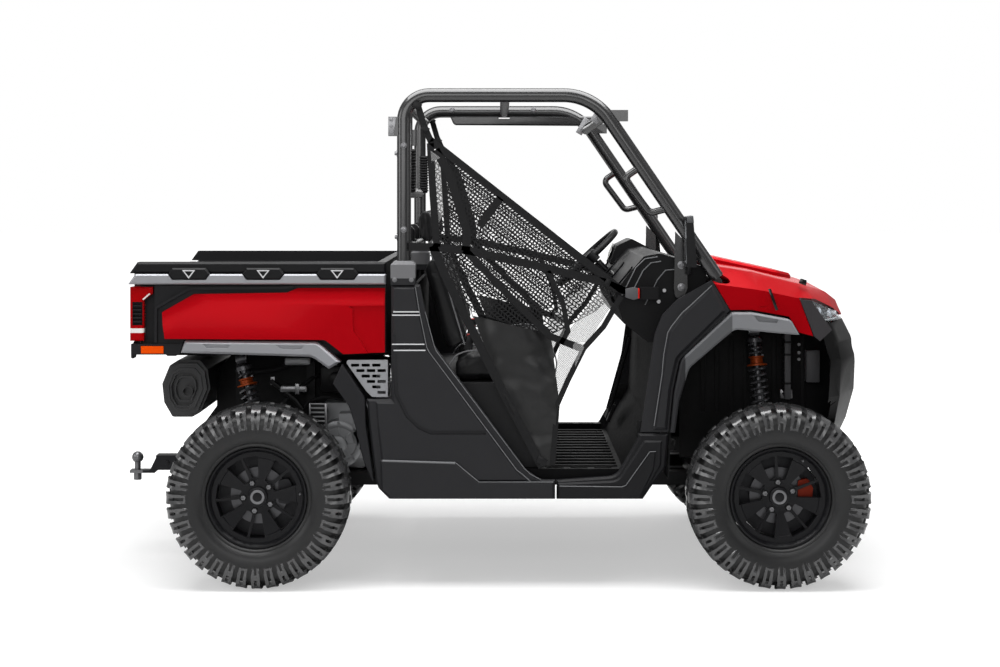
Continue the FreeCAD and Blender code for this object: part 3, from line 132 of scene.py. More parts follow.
floor_mesh = bmesh.new()
bmesh.ops.create_grid(floor_mesh, x_segments=1, y_segments=1, size=60)
floor_data = bpy.data.meshes.new("studio_floor")
floor_mesh.to_mesh(floor_data)
studio_floor = add_object("studio_floor", floor_data)
floor_paint = bpy.data.materials.new("floor_paint")
floor_paint.use_nodes = True
paint = floor_paint.node_tree
distance = add_node(paint, "ShaderNodeVectorMath", {0: object_place(paint)}, operation="LENGTH")
glow = add_node(paint, "ShaderNodeMapRange",
                {"Value": distance.outputs["Value"], "From Min": 1.8, "From Max": 4.5, "To Min": 0.44})
seen_glow = maths(paint, "MULTIPLY", seen_directly(paint), glow.outputs["Result"])
feed_surface(paint, {"Base Color": FLOOR_GREY, "Roughness": 0.9, "Specular IOR Level": 0.0,
                     "Emission Color": WHITE, "Emission Strength": seen_glow})
floor_data.materials.append(floor_paint)

# Finishes
# Every finish has a gently varying colour and gloss, and most have a fine grain. CAD meshes are merged
# and smoothed, and most are rounded along their sharp edges.
CLOUD_SCALE = 9
STREAK_SCALE = 55
GRAIN_DEPTH = 0.25
MERGE_DISTANCE = 0.02 * MM
FLAT_WITHIN = math.radians(1)
SMOOTH_BELOW = math.radians(32)
ROUND_ABOVE = math.radians(33)
SHARP_ABOVE = math.radians(35)
smooth_group = bpy.data.node_groups.new("merged_and_smoothed", "GeometryNodeTree")
for flow in ("INPUT", "OUTPUT"):
    smooth_group.interface.new_socket("Geometry", in_out=flow, socket_type="NodeSocketGeometry")
mesh_in = smooth_group.nodes.new("NodeGroupInput")
mesh_out = smooth_group.nodes.new("NodeGroupOutput")
merge = add_node(smooth_group, "GeometryNodeMergeByDistance",
                 {"Geometry": mesh_in.outputs[0], "Distance": MERGE_DISTANCE})
bare = add_node(smooth_group, "GeometryNodeRemoveAttribute",
                {"Geometry": merge.outputs["Geometry"], "Name": "custom_normal"})
fold = add_node(smooth_group, "GeometryNodeInputMeshEdgeAngle")
shallow = add_node(smooth_group, "FunctionNodeCompare",
                   {"A": fold.outputs["Unsigned Angle"], "B": SMOOTH_BELOW},
                   data_type="FLOAT", operation="LESS_THAN")
all_faces = add_node(smooth_group, "GeometryNodeSetShadeSmooth",
                     {"Geometry": bare.outputs["Geometry"]}, domain="FACE")
soft_edges = add_node(smooth_group, "GeometryNodeSetShadeSmooth",
                      {"Geometry": all_faces.outputs["Geometry"], "Shade Smooth": shallow.outputs["Result"]},
                      domain="EDGE")
smooth_group.links.new(soft_edges.outputs["Geometry"], mesh_out.inputs[0])


def round_edges(thing, radius):
    """Merges and smooths a mesh, and rounds its sharp edges to a radius in millimetres."""
    thing.modifiers.new("merged", "NODES").node_group = smooth_group
    if not radius:
        return
    flat = thing.modifiers.new("flat_faces", "DECIMATE")
    flat.decimate_type = "DISSOLVE"
    flat.angle_limit = FLAT_WITHIN
    edge = thing.modifiers.new("rounded", "BEVEL")
    edge.width = radius * MM
    edge.segments = 2
    edge.limit_method = "ANGLE"
    edge.angle_limit = ROUND_ABOVE
    edge.harden_normals = True


def shade(color, factor=1.0):
    """Linear colour from the 0 to 255 numbers of a screen, made darker or lighter."""
    return tuple(min((part / 255) ** 2.2 * factor, 1) for part in color) + (1,)


def mixed(tree, factor, first, second):
    """The first colour where the factor is 0, the second where it is 1."""
    inputs = {"Factor": factor, "A": first, "B": second}
    return add_node(tree, "ShaderNodeMix", inputs, data_type="RGBA").outputs["Result"]


def bumped(tree, height, amount, depth):
    """The surface direction over a bump of that depth in mm."""
    inputs = {"Height": height, "Strength": amount, "Distance": depth * MM}
    return add_node(tree, "ShaderNodeBump", inputs).outputs["Normal"]


def finish(name, color, roughness, metallic=0.0, coat=0.0, mottle=0.08, grain=0.0, grain_size=1.4, shine=0.2):
    """A surface whose colour and gloss vary gently, with a moulded or sprayed grain of that size in mm."""
    made = bpy.data.materials.new(name)
    made.use_nodes = True
    tree = made.node_tree
    place = object_place(tree)
    clouds = add_node(tree, "ShaderNodeTexNoise", {"Vector": place, "Scale": CLOUD_SCALE, "Detail": 4})
    tint = mixed(tree, clouds.outputs["Fac"], shade(color, 1 - mottle), shade(color, 1 + mottle))
    streaks = add_node(tree, "ShaderNodeTexNoise", {"Vector": place, "Scale": STREAK_SCALE, "Detail": 5})
    limits = {"To Min": roughness * 0.86, "To Max": min(roughness * 1.18, 1)}
    gloss = add_node(tree, "ShaderNodeMapRange", {"Value": streaks.outputs["Fac"], **limits})
    inputs = {"Metallic": metallic, "Specular IOR Level": shine, "Coat Weight": coat, "Coat Roughness": 0.06,
              "Base Color": tint, "Roughness": gloss.outputs["Result"]}
    if grain:
        cells = add_node(tree, "ShaderNodeTexVoronoi", {"Vector": place, "Scale": 1 / (grain_size * MM)},
                         feature="SMOOTH_F1")
        inputs["Normal"] = bumped(tree, cells.outputs["Distance"], grain, GRAIN_DEPTH)
    feed_surface(tree, inputs)
    return made


def recolor(made, color, **limits):
    """Gives a finish another colour between limits in metres along X, Y or Z; Y counts outwards."""
    tree = made.node_tree
    before = tree.nodes["Principled BSDF"].inputs["Base Color"].links[0].from_socket
    split = add_node(tree, "ShaderNodeSeparateXYZ", {"Vector": object_place(tree)})
    mask = None
    for axis, (low, high) in limits.items():
        value = split.outputs[axis]
        if axis == "Y":
            value = maths(tree, "ABSOLUTE", value)
        above = maths(tree, "GREATER_THAN", value, low)
        below = maths(tree, "LESS_THAN", value, high)
        inside = maths(tree, "MULTIPLY", above, below)
        mask = maths(tree, "MULTIPLY", mask, inside) if mask else inside
    feed_surface(tree, {"Base Color": mixed(tree, mask, before, shade(color))})


def dress(made, radius, *names):
    """Gives CAD nodes a finish and rounded edges."""
    for name in names:
        node[name].data.materials[0] = made
        round_edges(node[name], radius)


# Painted panels
# The hood, the front wings and the sides of the bed are moulded panels in metallic red paint.
red_paint = finish("metallic_red", (166, 1, 20), 0.34, metallic=0.3, coat=0.03, mottle=0.03, grain=0.03,
                   grain_size=0.8, shine=0.06)
dress(red_paint, 4, "hood")
dress(red_paint, 3, "front_fenders", "bed_panels")

# Dark body panels
# Side panels, sills, cowl, fascia and wheel arch liners are moulded in unpainted black plastic with a
# leathery grain. The cap at the foot of each rear pillar is a lighter grey, and so are the upper runs of
# the arch trims; painted shade darkens the trims in steps towards their ends.
panel_plastic = finish("panel_plastic", (40, 40, 42), 0.5, grain=0.25)
recolor(panel_plastic, (108, 108, 110), Z=(1.222, 1.4), X=(-0.40, -0.25))
sill_plastic = finish("sill_plastic", (26, 26, 28), 0.5, grain=0.25)
fascia_plastic = finish("fascia_plastic", (12, 12, 13), 0.32, grain=0.12, shine=0.15)
liner_plastic = finish("liner_plastic", (20, 20, 21), 0.6, grain=0.3, grain_size=2.5)
flare_plastic = finish("flare_plastic", (122, 123, 126), 0.42, grain=0.2)
# Painted shade: the arch trims get darker bands by their place along X, darkest at the rear.
for color, limits in (((58, 56, 58), (1.2485, 1.6)), ((84, 85, 87), (0.79, 0.975)),
                      ((42, 42, 44), (0.0, 0.79)), ((34, 34, 36), (-1.0, 0.0))):
    recolor(flare_plastic, color, X=limits)
dress(panel_plastic, 3, "rear_side_panels", "cowl_panels")
dress(sill_plastic, 3, "sill_panels")
dress(fascia_plastic, 3, "fascia")
dress(liner_plastic, 0, "wheel_liners")
dress(flare_plastic, 2.5, "arch_flares")

# Bright trim
# The strips along the bed and the grilles ahead of the rear wheels are moulded in plastic with a satin
# silver paint.
silver_paint = finish("silver_paint", (150, 151, 155), 0.32, metallic=0.5, mottle=0.03, grain=0.04,
                      grain_size=0.7)
vent_paint = finish("vent_paint", (150, 151, 154), 0.34, metallic=0.3, mottle=0.03, grain=0.04)
dress(silver_paint, 1.5, "bed_strips")
dress(vent_paint, 0.8, "side_vents")

# Roll cage
# Bent steel tube with a satin black powder coat.
cage_coat = finish("cage_coat", (34, 34, 35), 0.22, grain=0.04, grain_size=0.9, shine=1.0)
dress(cage_coat, 1.2, "cage_left", "cage_right", "cage_cross")

# Cargo bed
# Moulded black tub with rails, tie-down blocks and a drop-down tailgate. The triangles on the blocks are
# white. The lamps in the rear corners are red with a white strip, and painted shade darkens their
# recess; an amber marker sits in the bar below each.
bed_plastic = finish("bed_plastic", (30, 30, 32), 0.55, grain=0.3, grain_size=1.8)
rail_plastic = finish("rail_plastic", (18, 18, 20), 0.45, grain=0.25)
recolor(rail_plastic, (200, 200, 202), Y=(0.7176, 0.73))
tail_lens = finish("tail_lens", (158, 2, 12), 0.14, coat=0.15, mottle=0.05, shine=0.1)
recolor(tail_lens, (232, 230, 226), Z=(1.004, 1.022))
# Painted shade: the lamp's recess is darkened.
recolor(tail_lens, (26, 24, 26), Z=(1.034, 1.127), X=(-1.398, -1.358))
recolor(tail_lens, (232, 78, 8), Z=(0.92, 0.956))
dress(bed_plastic, 1.5, "bed_tub")
dress(bed_plastic, 2, "tailgate")
dress(rail_plastic, 2, "bed_rails")
dress(tail_lens, 1.5, "tail_lamps")


# Shapes
# All shapes are built in millimetres.
SIDES = {"right": -1, "left": 1}
BLOCK_RIDGE = 0.5


def at(x=0, y=0, z=0):
    """A place that far from the origin."""
    return Matrix.Translation((x, y, z))


def rotated(degrees, axis):
    """A place turned about the X, Y or Z axis."""
    return Matrix.Rotation(math.radians(degrees), 4, axis)


def facing(point, direction, axis=(0, 1, 0)):
    """A place whose Y axis, or the given one, points along the direction."""
    lean = Vector(axis).rotation_difference(Vector(direction))
    return Matrix.Translation(point) @ lean.to_matrix().to_4x4()


def chain(shape, points):
    """New corners at the points and the edges that join them."""
    corners = [shape.verts.new(point) for point in points]
    return corners, [shape.edges.new(pair) for pair in zip(corners, corners[1:])]


def slide(shape, drawn, step):
    """Moves the corners that an extrusion has drawn out."""
    corners = [item for item in drawn["geom"] if isinstance(item, bmesh.types.BMVert)]
    bmesh.ops.translate(shape, vec=step, verts=corners)


def cut(shape, point, normal):
    """Cuts away what lies beyond a plane."""
    bmesh.ops.bisect_plane(shape, geom=shape.verts[:] + shape.edges[:] + shape.faces[:], plane_co=point,
                           plane_no=normal, clear_outer=True)


def turned(profile, steps):
    """A shape turned round the Y axis from (distance along the axis, radius) pairs."""
    shape = bmesh.new()
    corners, edges = chain(shape, [(radius, along, 0) for along, radius in profile])
    bmesh.ops.spin(shape, geom=corners + edges, axis=(0, 1, 0), cent=(0, 0, 0), angle=math.tau, steps=steps,
                   use_merge=True)
    bmesh.ops.remove_doubles(shape, verts=shape.verts, dist=0.01)
    return shape


def block(outline, y0, y1, soft=0):
    """A block with an (x, z) outline from y0 to y1, its sharp edges bevelled by soft."""
    shape = bmesh.new()
    face = shape.faces.new([shape.verts.new((x, y0, z)) for x, z in outline])
    slide(shape, bmesh.ops.extrude_face_region(shape, geom=[face], use_keep_orig=True), (0, y1 - y0, 0))
    if soft:
        sharp = [edge for edge in shape.edges if edge.calc_face_angle(0) > BLOCK_RIDGE]
        bmesh.ops.bevel(shape, geom=sharp, offset=soft, segments=2, profile=0.5, material=-1, affect="EDGES")
    return shape


def slab(x, y, z, soft=2):
    """A box with bevelled edges between pairs of limits."""
    return block([(x[0], z[0]), (x[0], z[1]), (x[1], z[1]), (x[1], z[0])], y[0], y[1], soft)


def shown(thing):
    """The thing with its modifiers applied."""
    return thing.evaluated_get(bpy.context.evaluated_depsgraph_get())


def pipe(points, radius, smooth=False):
    """A round bar through the points; a smooth one bends gently through them."""
    curve = bpy.data.curves.new("run", "CURVE")
    curve.dimensions = "3D"
    curve.bevel_depth = radius
    curve.bevel_resolution = 3
    curve.resolution_u = 8
    curve.use_fill_caps = True
    run = curve.splines.new("BEZIER" if smooth else "POLY")
    spots = run.bezier_points if smooth else run.points
    spots.add(len(points) - 1)
    for spot, point in zip(spots, points):
        if smooth:
            spot.co = point
            spot.handle_left_type = spot.handle_right_type = "AUTO"
        else:
            spot.co = (*point, 1)
    holder = add_object("run", curve)
    bpy.context.view_layer.update()
    mesh = bpy.data.meshes.new_from_object(shown(holder))
    shape = bmesh.new()
    shape.from_mesh(mesh)
    bpy.data.objects.remove(holder)
    bpy.data.curves.remove(curve)
    bpy.data.meshes.remove(mesh)
    return shape


def painted(piece, index):
    """The piece with its faces in another of its materials."""
    for face in piece.faces:
        face.material_index = index
    return piece


def put(shape, piece, *places):
    """Adds the piece to the shape at each place, or where it stands."""
    for place in places or (Matrix(),):
        copy = piece.copy()
        copy.transform(place)
        moved = bpy.data.meshes.new("moved")
        copy.to_mesh(moved)
        copy.free()
        shape.from_mesh(moved)
        bpy.data.meshes.remove(moved)
    piece.free()


def make(name, shape, *materials, rides="chassis", instead_of=()):
    """An object from a shape, riding a body. Folds above 35 degrees are shown sharp."""
    bmesh.ops.scale(shape, vec=(MM, MM, MM), verts=shape.verts)
    bmesh.ops.recalc_face_normals(shape, faces=shape.faces)
    for face in shape.faces:
        face.smooth = True
    for edge in shape.edges:
        edge.smooth = edge.calc_face_angle(0) < SHARP_ABOVE
    data = bpy.data.meshes.new(name)
    shape.to_mesh(data)
    shape.free()
    for material in materials:
        data.materials.append(material)
    thing = add_object(name, data)
    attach(thing, rides)
    if instead_of:
        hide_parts(*instead_of)
    return thing


# Tyres
# Knobbly all-terrain tyres. A smooth carcass carries raised lugs that run from the side wall over the
# shoulder, in turn slotted like an H and like a U, and staggered blocks along the crown.
FRONT_WHEEL = {"half": 118, "rim": 86, "x": 1160, "y": 689.5, "turn": -5, "end": "front"}
REAR_WHEEL = {"half": 138, "rim": 104, "x": -895, "y": 669.5, "turn": 49, "end": "rear"}
AXLE_HEIGHT = 362
LUG_PAIRS = 18
BEAD_RADIUS = 268
TREAD_RADIUS = 330
CARCASS_HEIGHT = 78
LUG_HEIGHT = 15.7
LUG_REACH = 4
LUG_RIDGE = 0.7


def hub(wheel, sign):
    """The middle of a wheel, mirrored on the right."""
    return at(wheel["x"], sign * wheel["y"], AXLE_HEIGHT) @ Matrix.Scale(sign, 4, (0, 1, 0))


def skin(half, along, lift):
    """Offset and radius on the carcass (lift 0) or the lug tops (1); along goes 0 to 2 from wall to crown."""
    power = 3.2 + 0.8 * lift
    corner = 0.5 ** (1 / power)
    if along < 1:
        rise = corner * along
        width = (1 - rise**power) ** (1 / power)
    else:
        width = corner * (2 - along)
        rise = (1 - width**power) ** (1 / power)
    reach = half - LUG_REACH + LUG_REACH * lift
    return reach * width, BEAD_RADIUS + (CARCASS_HEIGHT + LUG_HEIGHT * lift) * rise


def lug(half, columns, rows, gaps, lean=0.0):
    """A raised pad over the given columns (mm across) and rows (along the skin), without the gap cells."""
    shape = bmesh.new()
    wide, long = len(columns) - 1, len(rows) - 1
    bmesh.ops.create_grid(shape, x_segments=wide, y_segments=long, size=0.5)
    spare = []
    for face in shape.faces:
        middle = face.calc_center_median()
        if (int((middle.x + 0.5) * wide), int((middle.y + 0.5) * long)) in gaps:
            spare.append(face)
    for corner in shape.verts:
        column = round((corner.co.x + 0.5) * wide)
        row = round((corner.co.y + 0.5) * long)
        corner.co = (columns[column], rows[row], 0)
    bmesh.ops.delete(shape, geom=spare, context="FACES")
    raised = bmesh.ops.extrude_face_region(shape, geom=shape.faces[:])
    for item in raised["geom"]:
        if isinstance(item, bmesh.types.BMVert):
            item.co.z = 1
    for corner in shape.verts:
        across, along, top = corner.co
        lift = min(0.25 + 0.95 * along, 1) if top else -0.1
        offset, radius = skin(half, along, lift)
        angle = (across + lean * along) / TREAD_RADIUS
        corner.co = (radius * math.sin(angle), offset, radius * math.cos(angle))
    ridges = [edge for edge in shape.edges if edge.calc_face_angle(0) > LUG_RIDGE]
    bmesh.ops.bevel(shape, geom=ridges, offset=1.8, segments=2, profile=0.5, material=-1, affect="EDGES")
    return shape


def tyre(half, rim):
    """A whole tyre round the origin."""
    wall = [(rim - 2, 199), (rim + 6, 203), (rim + 9, 208), (rim + 8, 214), (half - 14, 226), (half - 6, 244)]
    wall += [skin(half, step / 10, 0) for step in range(20)]
    loop = wall + [(-offset, radius) for offset, radius in reversed(wall)]
    shape = turned(loop + loop[:1], 96)
    middle = {(1, row) for row in range(9)}
    lug_h = lug(half, (-17, -6.5, 6.5, 17), (0.05, 0.22, 0.48, 0.62, 0.8, 0.95, 1.05, 1.2, 1.5),
                middle - {(1, 2), (1, 5), (1, 6), (1, 7)})
    lug_u = lug(half, (-19, -6.5, 6.5, 19), (0.08, 0.2, 0.45, 0.7, 0.95, 1.05, 1.2, 1.42),
                middle - {(1, 0), (1, 4), (1, 5), (1, 6)})
    crown = lug(half, (-15, 4, 16), (1.6, 1.78, 1.96), {(0, 0)}, lean=6)
    pitch = math.tau / LUG_PAIRS
    flip = Matrix.Rotation(pitch / 4, 4, "Y") @ Matrix.Scale(-1, 4, (0, 1, 0))
    for piece, start in ((lug_h, 0), (lug_u, 0.5), (crown, 0.25), (crown.copy(), 0.75)):
        turns = [Matrix.Rotation(pitch * (start + step), 4, "Y") for step in range(LUG_PAIRS)]
        put(shape, painted(piece, 1), *turns, *(spot @ flip for spot in turns))
    return shape


rubber = finish("rubber", (22, 22, 23), 0.4, mottle=0.12, grain=0.08, grain_size=1.1, shine=0.5)
# Lighter, glossier rubber on the lugs: partly worn tread, partly a painted highlight on their lit faces.
tread_rubber = finish("tread_rubber", (66, 66, 67), 0.22, mottle=0.25, grain=0.1, grain_size=1.3, shine=1.0)
for wheel in (FRONT_WHEEL, REAR_WHEEL):
    whole = tyre(wheel["half"], wheel["rim"])
    for side, sign in SIDES.items():
        shape = whole.copy()
        shape.transform(hub(wheel, sign))
        key = wheel["end"] + "_" + side
        make("knobbly_tyre_" + key, shape, rubber, tread_rubber, rides="wheel_" + key,
             instead_of=["tyre_" + key])
    whole.free()

# Wheels and brakes
# Cast alloy wheels in dark satin paint, held by five nuts, with a bare ring round the hub and a valve.
# Steel discs show through the spokes, with a dark disc behind each as painted shade inside the wheel,
# and a brown-red caliper at each front wheel.
BOLT_CIRCLE = 57.15
rim_paint = finish("wheel_paint", (26, 26, 28), 0.32, metallic=0.1, coat=0.05, mottle=0.05, grain=0.04,
                   grain_size=0.8)
disc_steel = finish("disc_steel", (84, 84, 86), 0.34, metallic=0.9, mottle=0.1)
steel = finish("bright_steel", (190, 190, 192), 0.28, metallic=0.95, mottle=0.06, grain=0.1, grain_size=0.6)
zinc = finish("dark_zinc", (124, 124, 126), 0.32, metallic=0.8, mottle=0.06)
cast_iron = finish("cast_iron", (88, 88, 90), 0.55, metallic=0.6, grain=0.4, grain_size=1.8)
recolor(cast_iron, (120, 44, 30), X=(1.2355, 1.30), Y=(0.68, 0.72))
arm_coat = finish("arm_coat", (44, 44, 46), 0.4, metallic=0.3, grain=0.2, grain_size=1.0)
for wheel in (FRONT_WHEEL, REAR_WHEEL):
    rim = wheel["rim"]
    face = rim - 24
    seat = rim - 46
    for side, sign in SIDES.items():
        key = wheel["end"] + "_" + side
        dress(rim_paint, 1.2, "rim_" + key)
        dress(disc_steel, 0, "disc_" + key)
        shape = turned([(face - 1, 18), (face + 1.5, 19), (face + 2, 21), (face + 2, 26), (face + 1.5, 28),
                        (face - 1, 29)], 48)
        nut = turned([(seat, 11), (seat + 13, 11), (seat + 15, 9.5), (seat + 15, 5.5), (seat + 11, 5),
                      (seat + 11, 0)], 6)
        spokes = [math.radians(72 * spoke - 90 + wheel["turn"]) for spoke in range(5)]
        seats = [at(BOLT_CIRCLE * math.cos(angle), 0, -BOLT_CIRCLE * math.sin(angle)) for angle in spokes]
        put(shape, nut, *seats)
        valve = turned([(rim - 22, 5), (rim - 8, 4), (rim - 8, 3.2), (rim + 4, 3.2), (rim + 5, 2.4),
                        (rim + 5, 0)], 12)
        put(shape, valve, rotated(wheel["turn"] - 54, "Y") @ at(170))
        shape.transform(hub(wheel, sign))
        make("nuts_" + key, shape, zinc, rides="wheel_" + key)
        # Painted shade: a dark disc fills the inside of the wheel behind the brake disc.
        wall = seat - 46
        shade_disc_shape = turned([(wall, 60), (wall, 161), (wall + 2, 162), (wall + 4, 161), (wall + 3, 60),
                        (wall, 60)], 64)
        shade_disc_shape.transform(hub(wheel, sign))
        carrier = "steer_" + side if wheel is FRONT_WHEEL else "chassis"
        make("dust_shield_" + key, shade_disc_shape, arm_coat, rides=carrier)
dress(cast_iron, 1.5, "knuckle_left", "knuckle_right")
dress(arm_coat, 1.5, "front_arms", "rear_suspension")
dress(zinc, 0.8, "tie_rods")

# Springs and drive shafts
# Gas dampers with two grey coil springs each, parted by an orange collar, between bushed eyes. Corrugated
# rubber boots cover the joints at both ends of each half shaft.
STEPS_PER_TURN = 18
spring_steel = finish("spring_steel", (84, 84, 87), 0.26, metallic=0.5, shine=0.6)
orange_paint = finish("orange_paint", (142, 62, 24), 0.36, metallic=0.3, mottle=0.06, grain=0.06)
boot_rubber = finish("boot_rubber", (30, 30, 31), 0.6, grain=0.1)


def coil(radius, wire, length, pitch):
    """A helical spring along Z from the origin."""
    turns = length / pitch
    shape = bmesh.new()
    stand = at(radius) @ rotated(90, "X")
    ring = bmesh.ops.create_circle(shape, segments=8, radius=wire, matrix=stand)["verts"]
    loop = ring + list({edge for corner in ring for edge in corner.link_edges})
    steps = round(STEPS_PER_TURN * turns)
    bmesh.ops.spin(shape, geom=loop, axis=(0, 0, 1), cent=(0, 0, 0), dvec=(0, 0, length / steps),
                   angle=math.tau * turns, steps=steps)
    bmesh.ops.holes_fill(shape, edges=shape.edges, sides=8)
    return shape


def shock(top, bottom):
    """Damper, springs and collar between two points; materials spring steel, orange and steel."""
    reach = Vector(top) - Vector(bottom)
    span = reach.length
    low, high = 0.70 * span, 0.78 * span
    shape = bmesh.new()
    upright = rotated(90, "X")
    body = turned([(24, 0), (24, 22), (30, 30), (40, 30), (44, 22), (0.5 * span, 22), (0.5 * span, 13),
                   (span - 50, 13), (span - 50, 34), (span - 34, 34), (span - 28, 22), (span - 22, 0)], 28)
    put(shape, body, upright)
    put(shape, coil(34, 6, low - 54, 26), at(z=48))
    put(shape, coil(26, 5, span - 56 - high, 19), at(z=high + 2))
    collar = turned([(low, 15), (low, 42), (low + 6, 42), (low + 9, 27), (high - 8, 25), (high - 5, 32),
                     (high, 32), (high, 15), (low, 15)], 28)
    put(shape, painted(collar, 1), upright)
    put(shape, turned([(30, 23), (30, 42), (36, 43), (42, 41), (42, 23)], 28), upright)
    across = rotated(90, "Z")
    eye = turned([(-20, 14), (-20, 21), (-17, 22), (17, 22), (20, 21), (20, 14), (-20, 14)], 24)
    pin = turned([(-22, 0), (-22, 13), (22, 13), (22, 0)], 24)
    put(shape, eye, across, at(z=span) @ across)
    put(shape, painted(pin, 2), across, at(z=span) @ across)
    shape.transform(facing(bottom, reach, (0, 0, 1)))
    return shape


def drive_shaft(inner, outer):
    """Shaft with a corrugated boot at each end."""
    reach = Vector(outer) - Vector(inner)
    span = reach.length
    boot = [(0, 0), (0, 42), (26, 42), (30, 36)]
    for fold in range(6):
        boot += [(34 + 13 * fold, 40 - 3.2 * fold), (40 + 13 * fold, 31 - 2.6 * fold)]
    boot += [(112, 17), (124, 17)]
    far = [(span - along, radius * 0.9) for along, radius in reversed(boot)]
    shape = turned(boot + [(124, 13), (span - 124, 13)] + far, 28)
    shape.transform(facing(inner, reach))
    return shape


coil_overs = bmesh.new()
shafts = bmesh.new()
for sign in SIDES.values():
    put(coil_overs, shock((1115, 372 * sign, 988), (1152, 436 * sign, 506)))
    put(coil_overs, shock((-1013, 392 * sign, 872), (-917, 440 * sign, 508)))
    put(shafts, drive_shaft((1160, 104 * sign, 442), (1160, 524 * sign, 362)))
    put(shafts, drive_shaft((-895, 134 * sign, 442), (-895, 572 * sign, 362)))
make("coil_overs", coil_overs, spring_steel, orange_paint, steel, instead_of=["shocks"])
make("drive_shafts", shafts, boot_rubber, instead_of=["half_shafts"])

# Seats
# A three-place bench with a contoured cushion, back and head restraint for each place, covered in black
# vinyl with sewn channels and a grey piping. They stand on a moulded box that is bolted to the floor.
SEAT_PITCH = 422
SEATS = ((-SEAT_PITCH, 412), (0, 408), (SEAT_PITCH, 412))
NO_SEAM = 99
LOWEST_SEAM = 850
SEAM_WIDTH = 7
CLOTH_PRESSURE = 4
CLOTH_STEPS = 20
CUSHION = ((-130, 816), (-132, 878), (-100, 902), (60, 914), (205, 926), (262, 914), (278, 884), (272, 826))
BACK = ((-138, 926), (-160, 990), (-236, 1276), (-216, 1300), (-190, 1296), (-168, 1230), (-122, 1080),
        (-80, 958))
HEAD_PAD = ((-254, 1366), (-266, 1470), (-254, 1486), (-232, 1486), (-222, 1462), (-212, 1370), (-226, 1356))
CUSHION_EDGE = ((-142, 872), (-108, 912), (60, 925), (205, 937), (270, 922), (286, 884), (282, 836))
BACK_EDGE = ((-82, 950), (-122, 1084), (-168, 1236), (-192, 1304), (-222, 1308))
vinyl = finish("vinyl", (34, 34, 35), 0.38, mottle=0.08, grain=0.5, grain_size=2.2)
piping_trim = finish("piping_trim", (120, 120, 122), 0.5, grain=0.1)
base_plastic = finish("base_plastic", (38, 38, 39), 0.5, grain=0.3)
dress(base_plastic, 3, "seat_base")


def side_seams(half):
    """The distance of a point from the two seams along the sides."""
    return lambda spot: abs(abs(spot.y) - half)


def cross_seam(axis, middle, half):
    """The distance of a point from a channel across the top, between the side seams."""
    def distance_to(spot):
        inside = abs(spot.y) < half and spot.z > LOWEST_SEAM
        return abs(getattr(spot, axis) - middle) if inside else NO_SEAM

    return distance_to


def stuffed(thing, voxel, swell, seams, depth):
    """Remeshes a piece, inflates it as cloth by at most swell mm, and presses seams into it."""
    grid = thing.modifiers.new("even", "REMESH")
    grid.mode = "VOXEL"
    grid.voxel_size = voxel * MM
    bpy.context.view_layer.update()
    mesh = bpy.data.meshes.new_from_object(shown(thing))
    thing.modifiers.clear()
    thing.data = mesh
    cloth = thing.modifiers.new("cloth", "CLOTH")
    cloth.settings.use_pressure = True
    cloth.settings.uniform_pressure_force = CLOTH_PRESSURE
    cloth.settings.effector_weights.gravity = 0
    for step in range(1, CLOTH_STEPS + 1):
        bpy.context.scene.frame_set(step)
    seen = shown(thing)
    for corner, blown in zip(mesh.vertices, seen.data.vertices):
        move = blown.co - corner.co
        if move.length > swell * MM:
            move.length = swell * MM
        corner.co += move
    thing.modifiers.clear()
    bpy.context.scene.frame_set(1)
    mesh.update()
    for corner in mesh.vertices:
        nearest = min(abs(seam(corner.co / MM)) for seam in seams)
        corner.co -= corner.normal * math.exp(-((nearest / SEAM_WIDTH) ** 2)) * depth * MM
    for face in mesh.polygons:
        face.use_smooth = True


def beside(thing, shift):
    """A copy of a stuffed piece, moved sideways."""
    twin = add_object(thing.name.replace("middle", "left" if shift > 0 else "right"), thing.data.copy())
    twin.data.transform(at(0, shift * MM))
    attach(twin, "chassis")
    return twin


cushion = make("cushion_middle", block(CUSHION, -192, 192, 16), vinyl)
stuffed(cushion, 7, 14, [side_seams(118), lambda spot: abs(spot.x + 96 + 0.2 * abs(spot.y)),
                         cross_seam("x", 30, 118), cross_seam("x", 130, 118)], 5)
back = make("back_middle", block(BACK, -186, 186, 14), vinyl)
stuffed(back, 7, 14, [side_seams(120), lambda spot: abs(spot.z - 1236) if spot.x > -215 else NO_SEAM,
                      cross_seam("z", 1010, 120), cross_seam("z", 1120, 120)], 5)
restraint = make("head_pad_middle", block(HEAD_PAD, -118, 118, 12), vinyl)
stuffed(restraint, 6, 10, [side_seams(84)], 4)
pads = []
for thing in (cushion, back, restraint):
    pads += [beside(thing, -SEAT_PITCH), beside(thing, SEAT_PITCH), thing]
for thing in pads:
    smoother = thing.modifiers.new("smoother", "SUBSURF")
    smoother.levels = smoother.render_levels = 1
    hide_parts("seat_cushions" if "cushion" in thing.name else "seat_backs")
posts = bmesh.new()
piping = bmesh.new()
for y, width in SEATS:
    for side in SIDES.values():
        post = y + 62 * side
        put(posts, pipe([(-208, post, 1270), (-222, post, 1330), (-238, post, 1400)], 6.5))
        edge = y + side * (width / 2 - 10)
        for run in (CUSHION_EDGE, BACK_EDGE):
            put(piping, pipe([(x, edge, z) for x, z in run], 3, smooth=True))
make("restraint_posts", posts, steel)
make("seat_piping", piping, piping_trim)

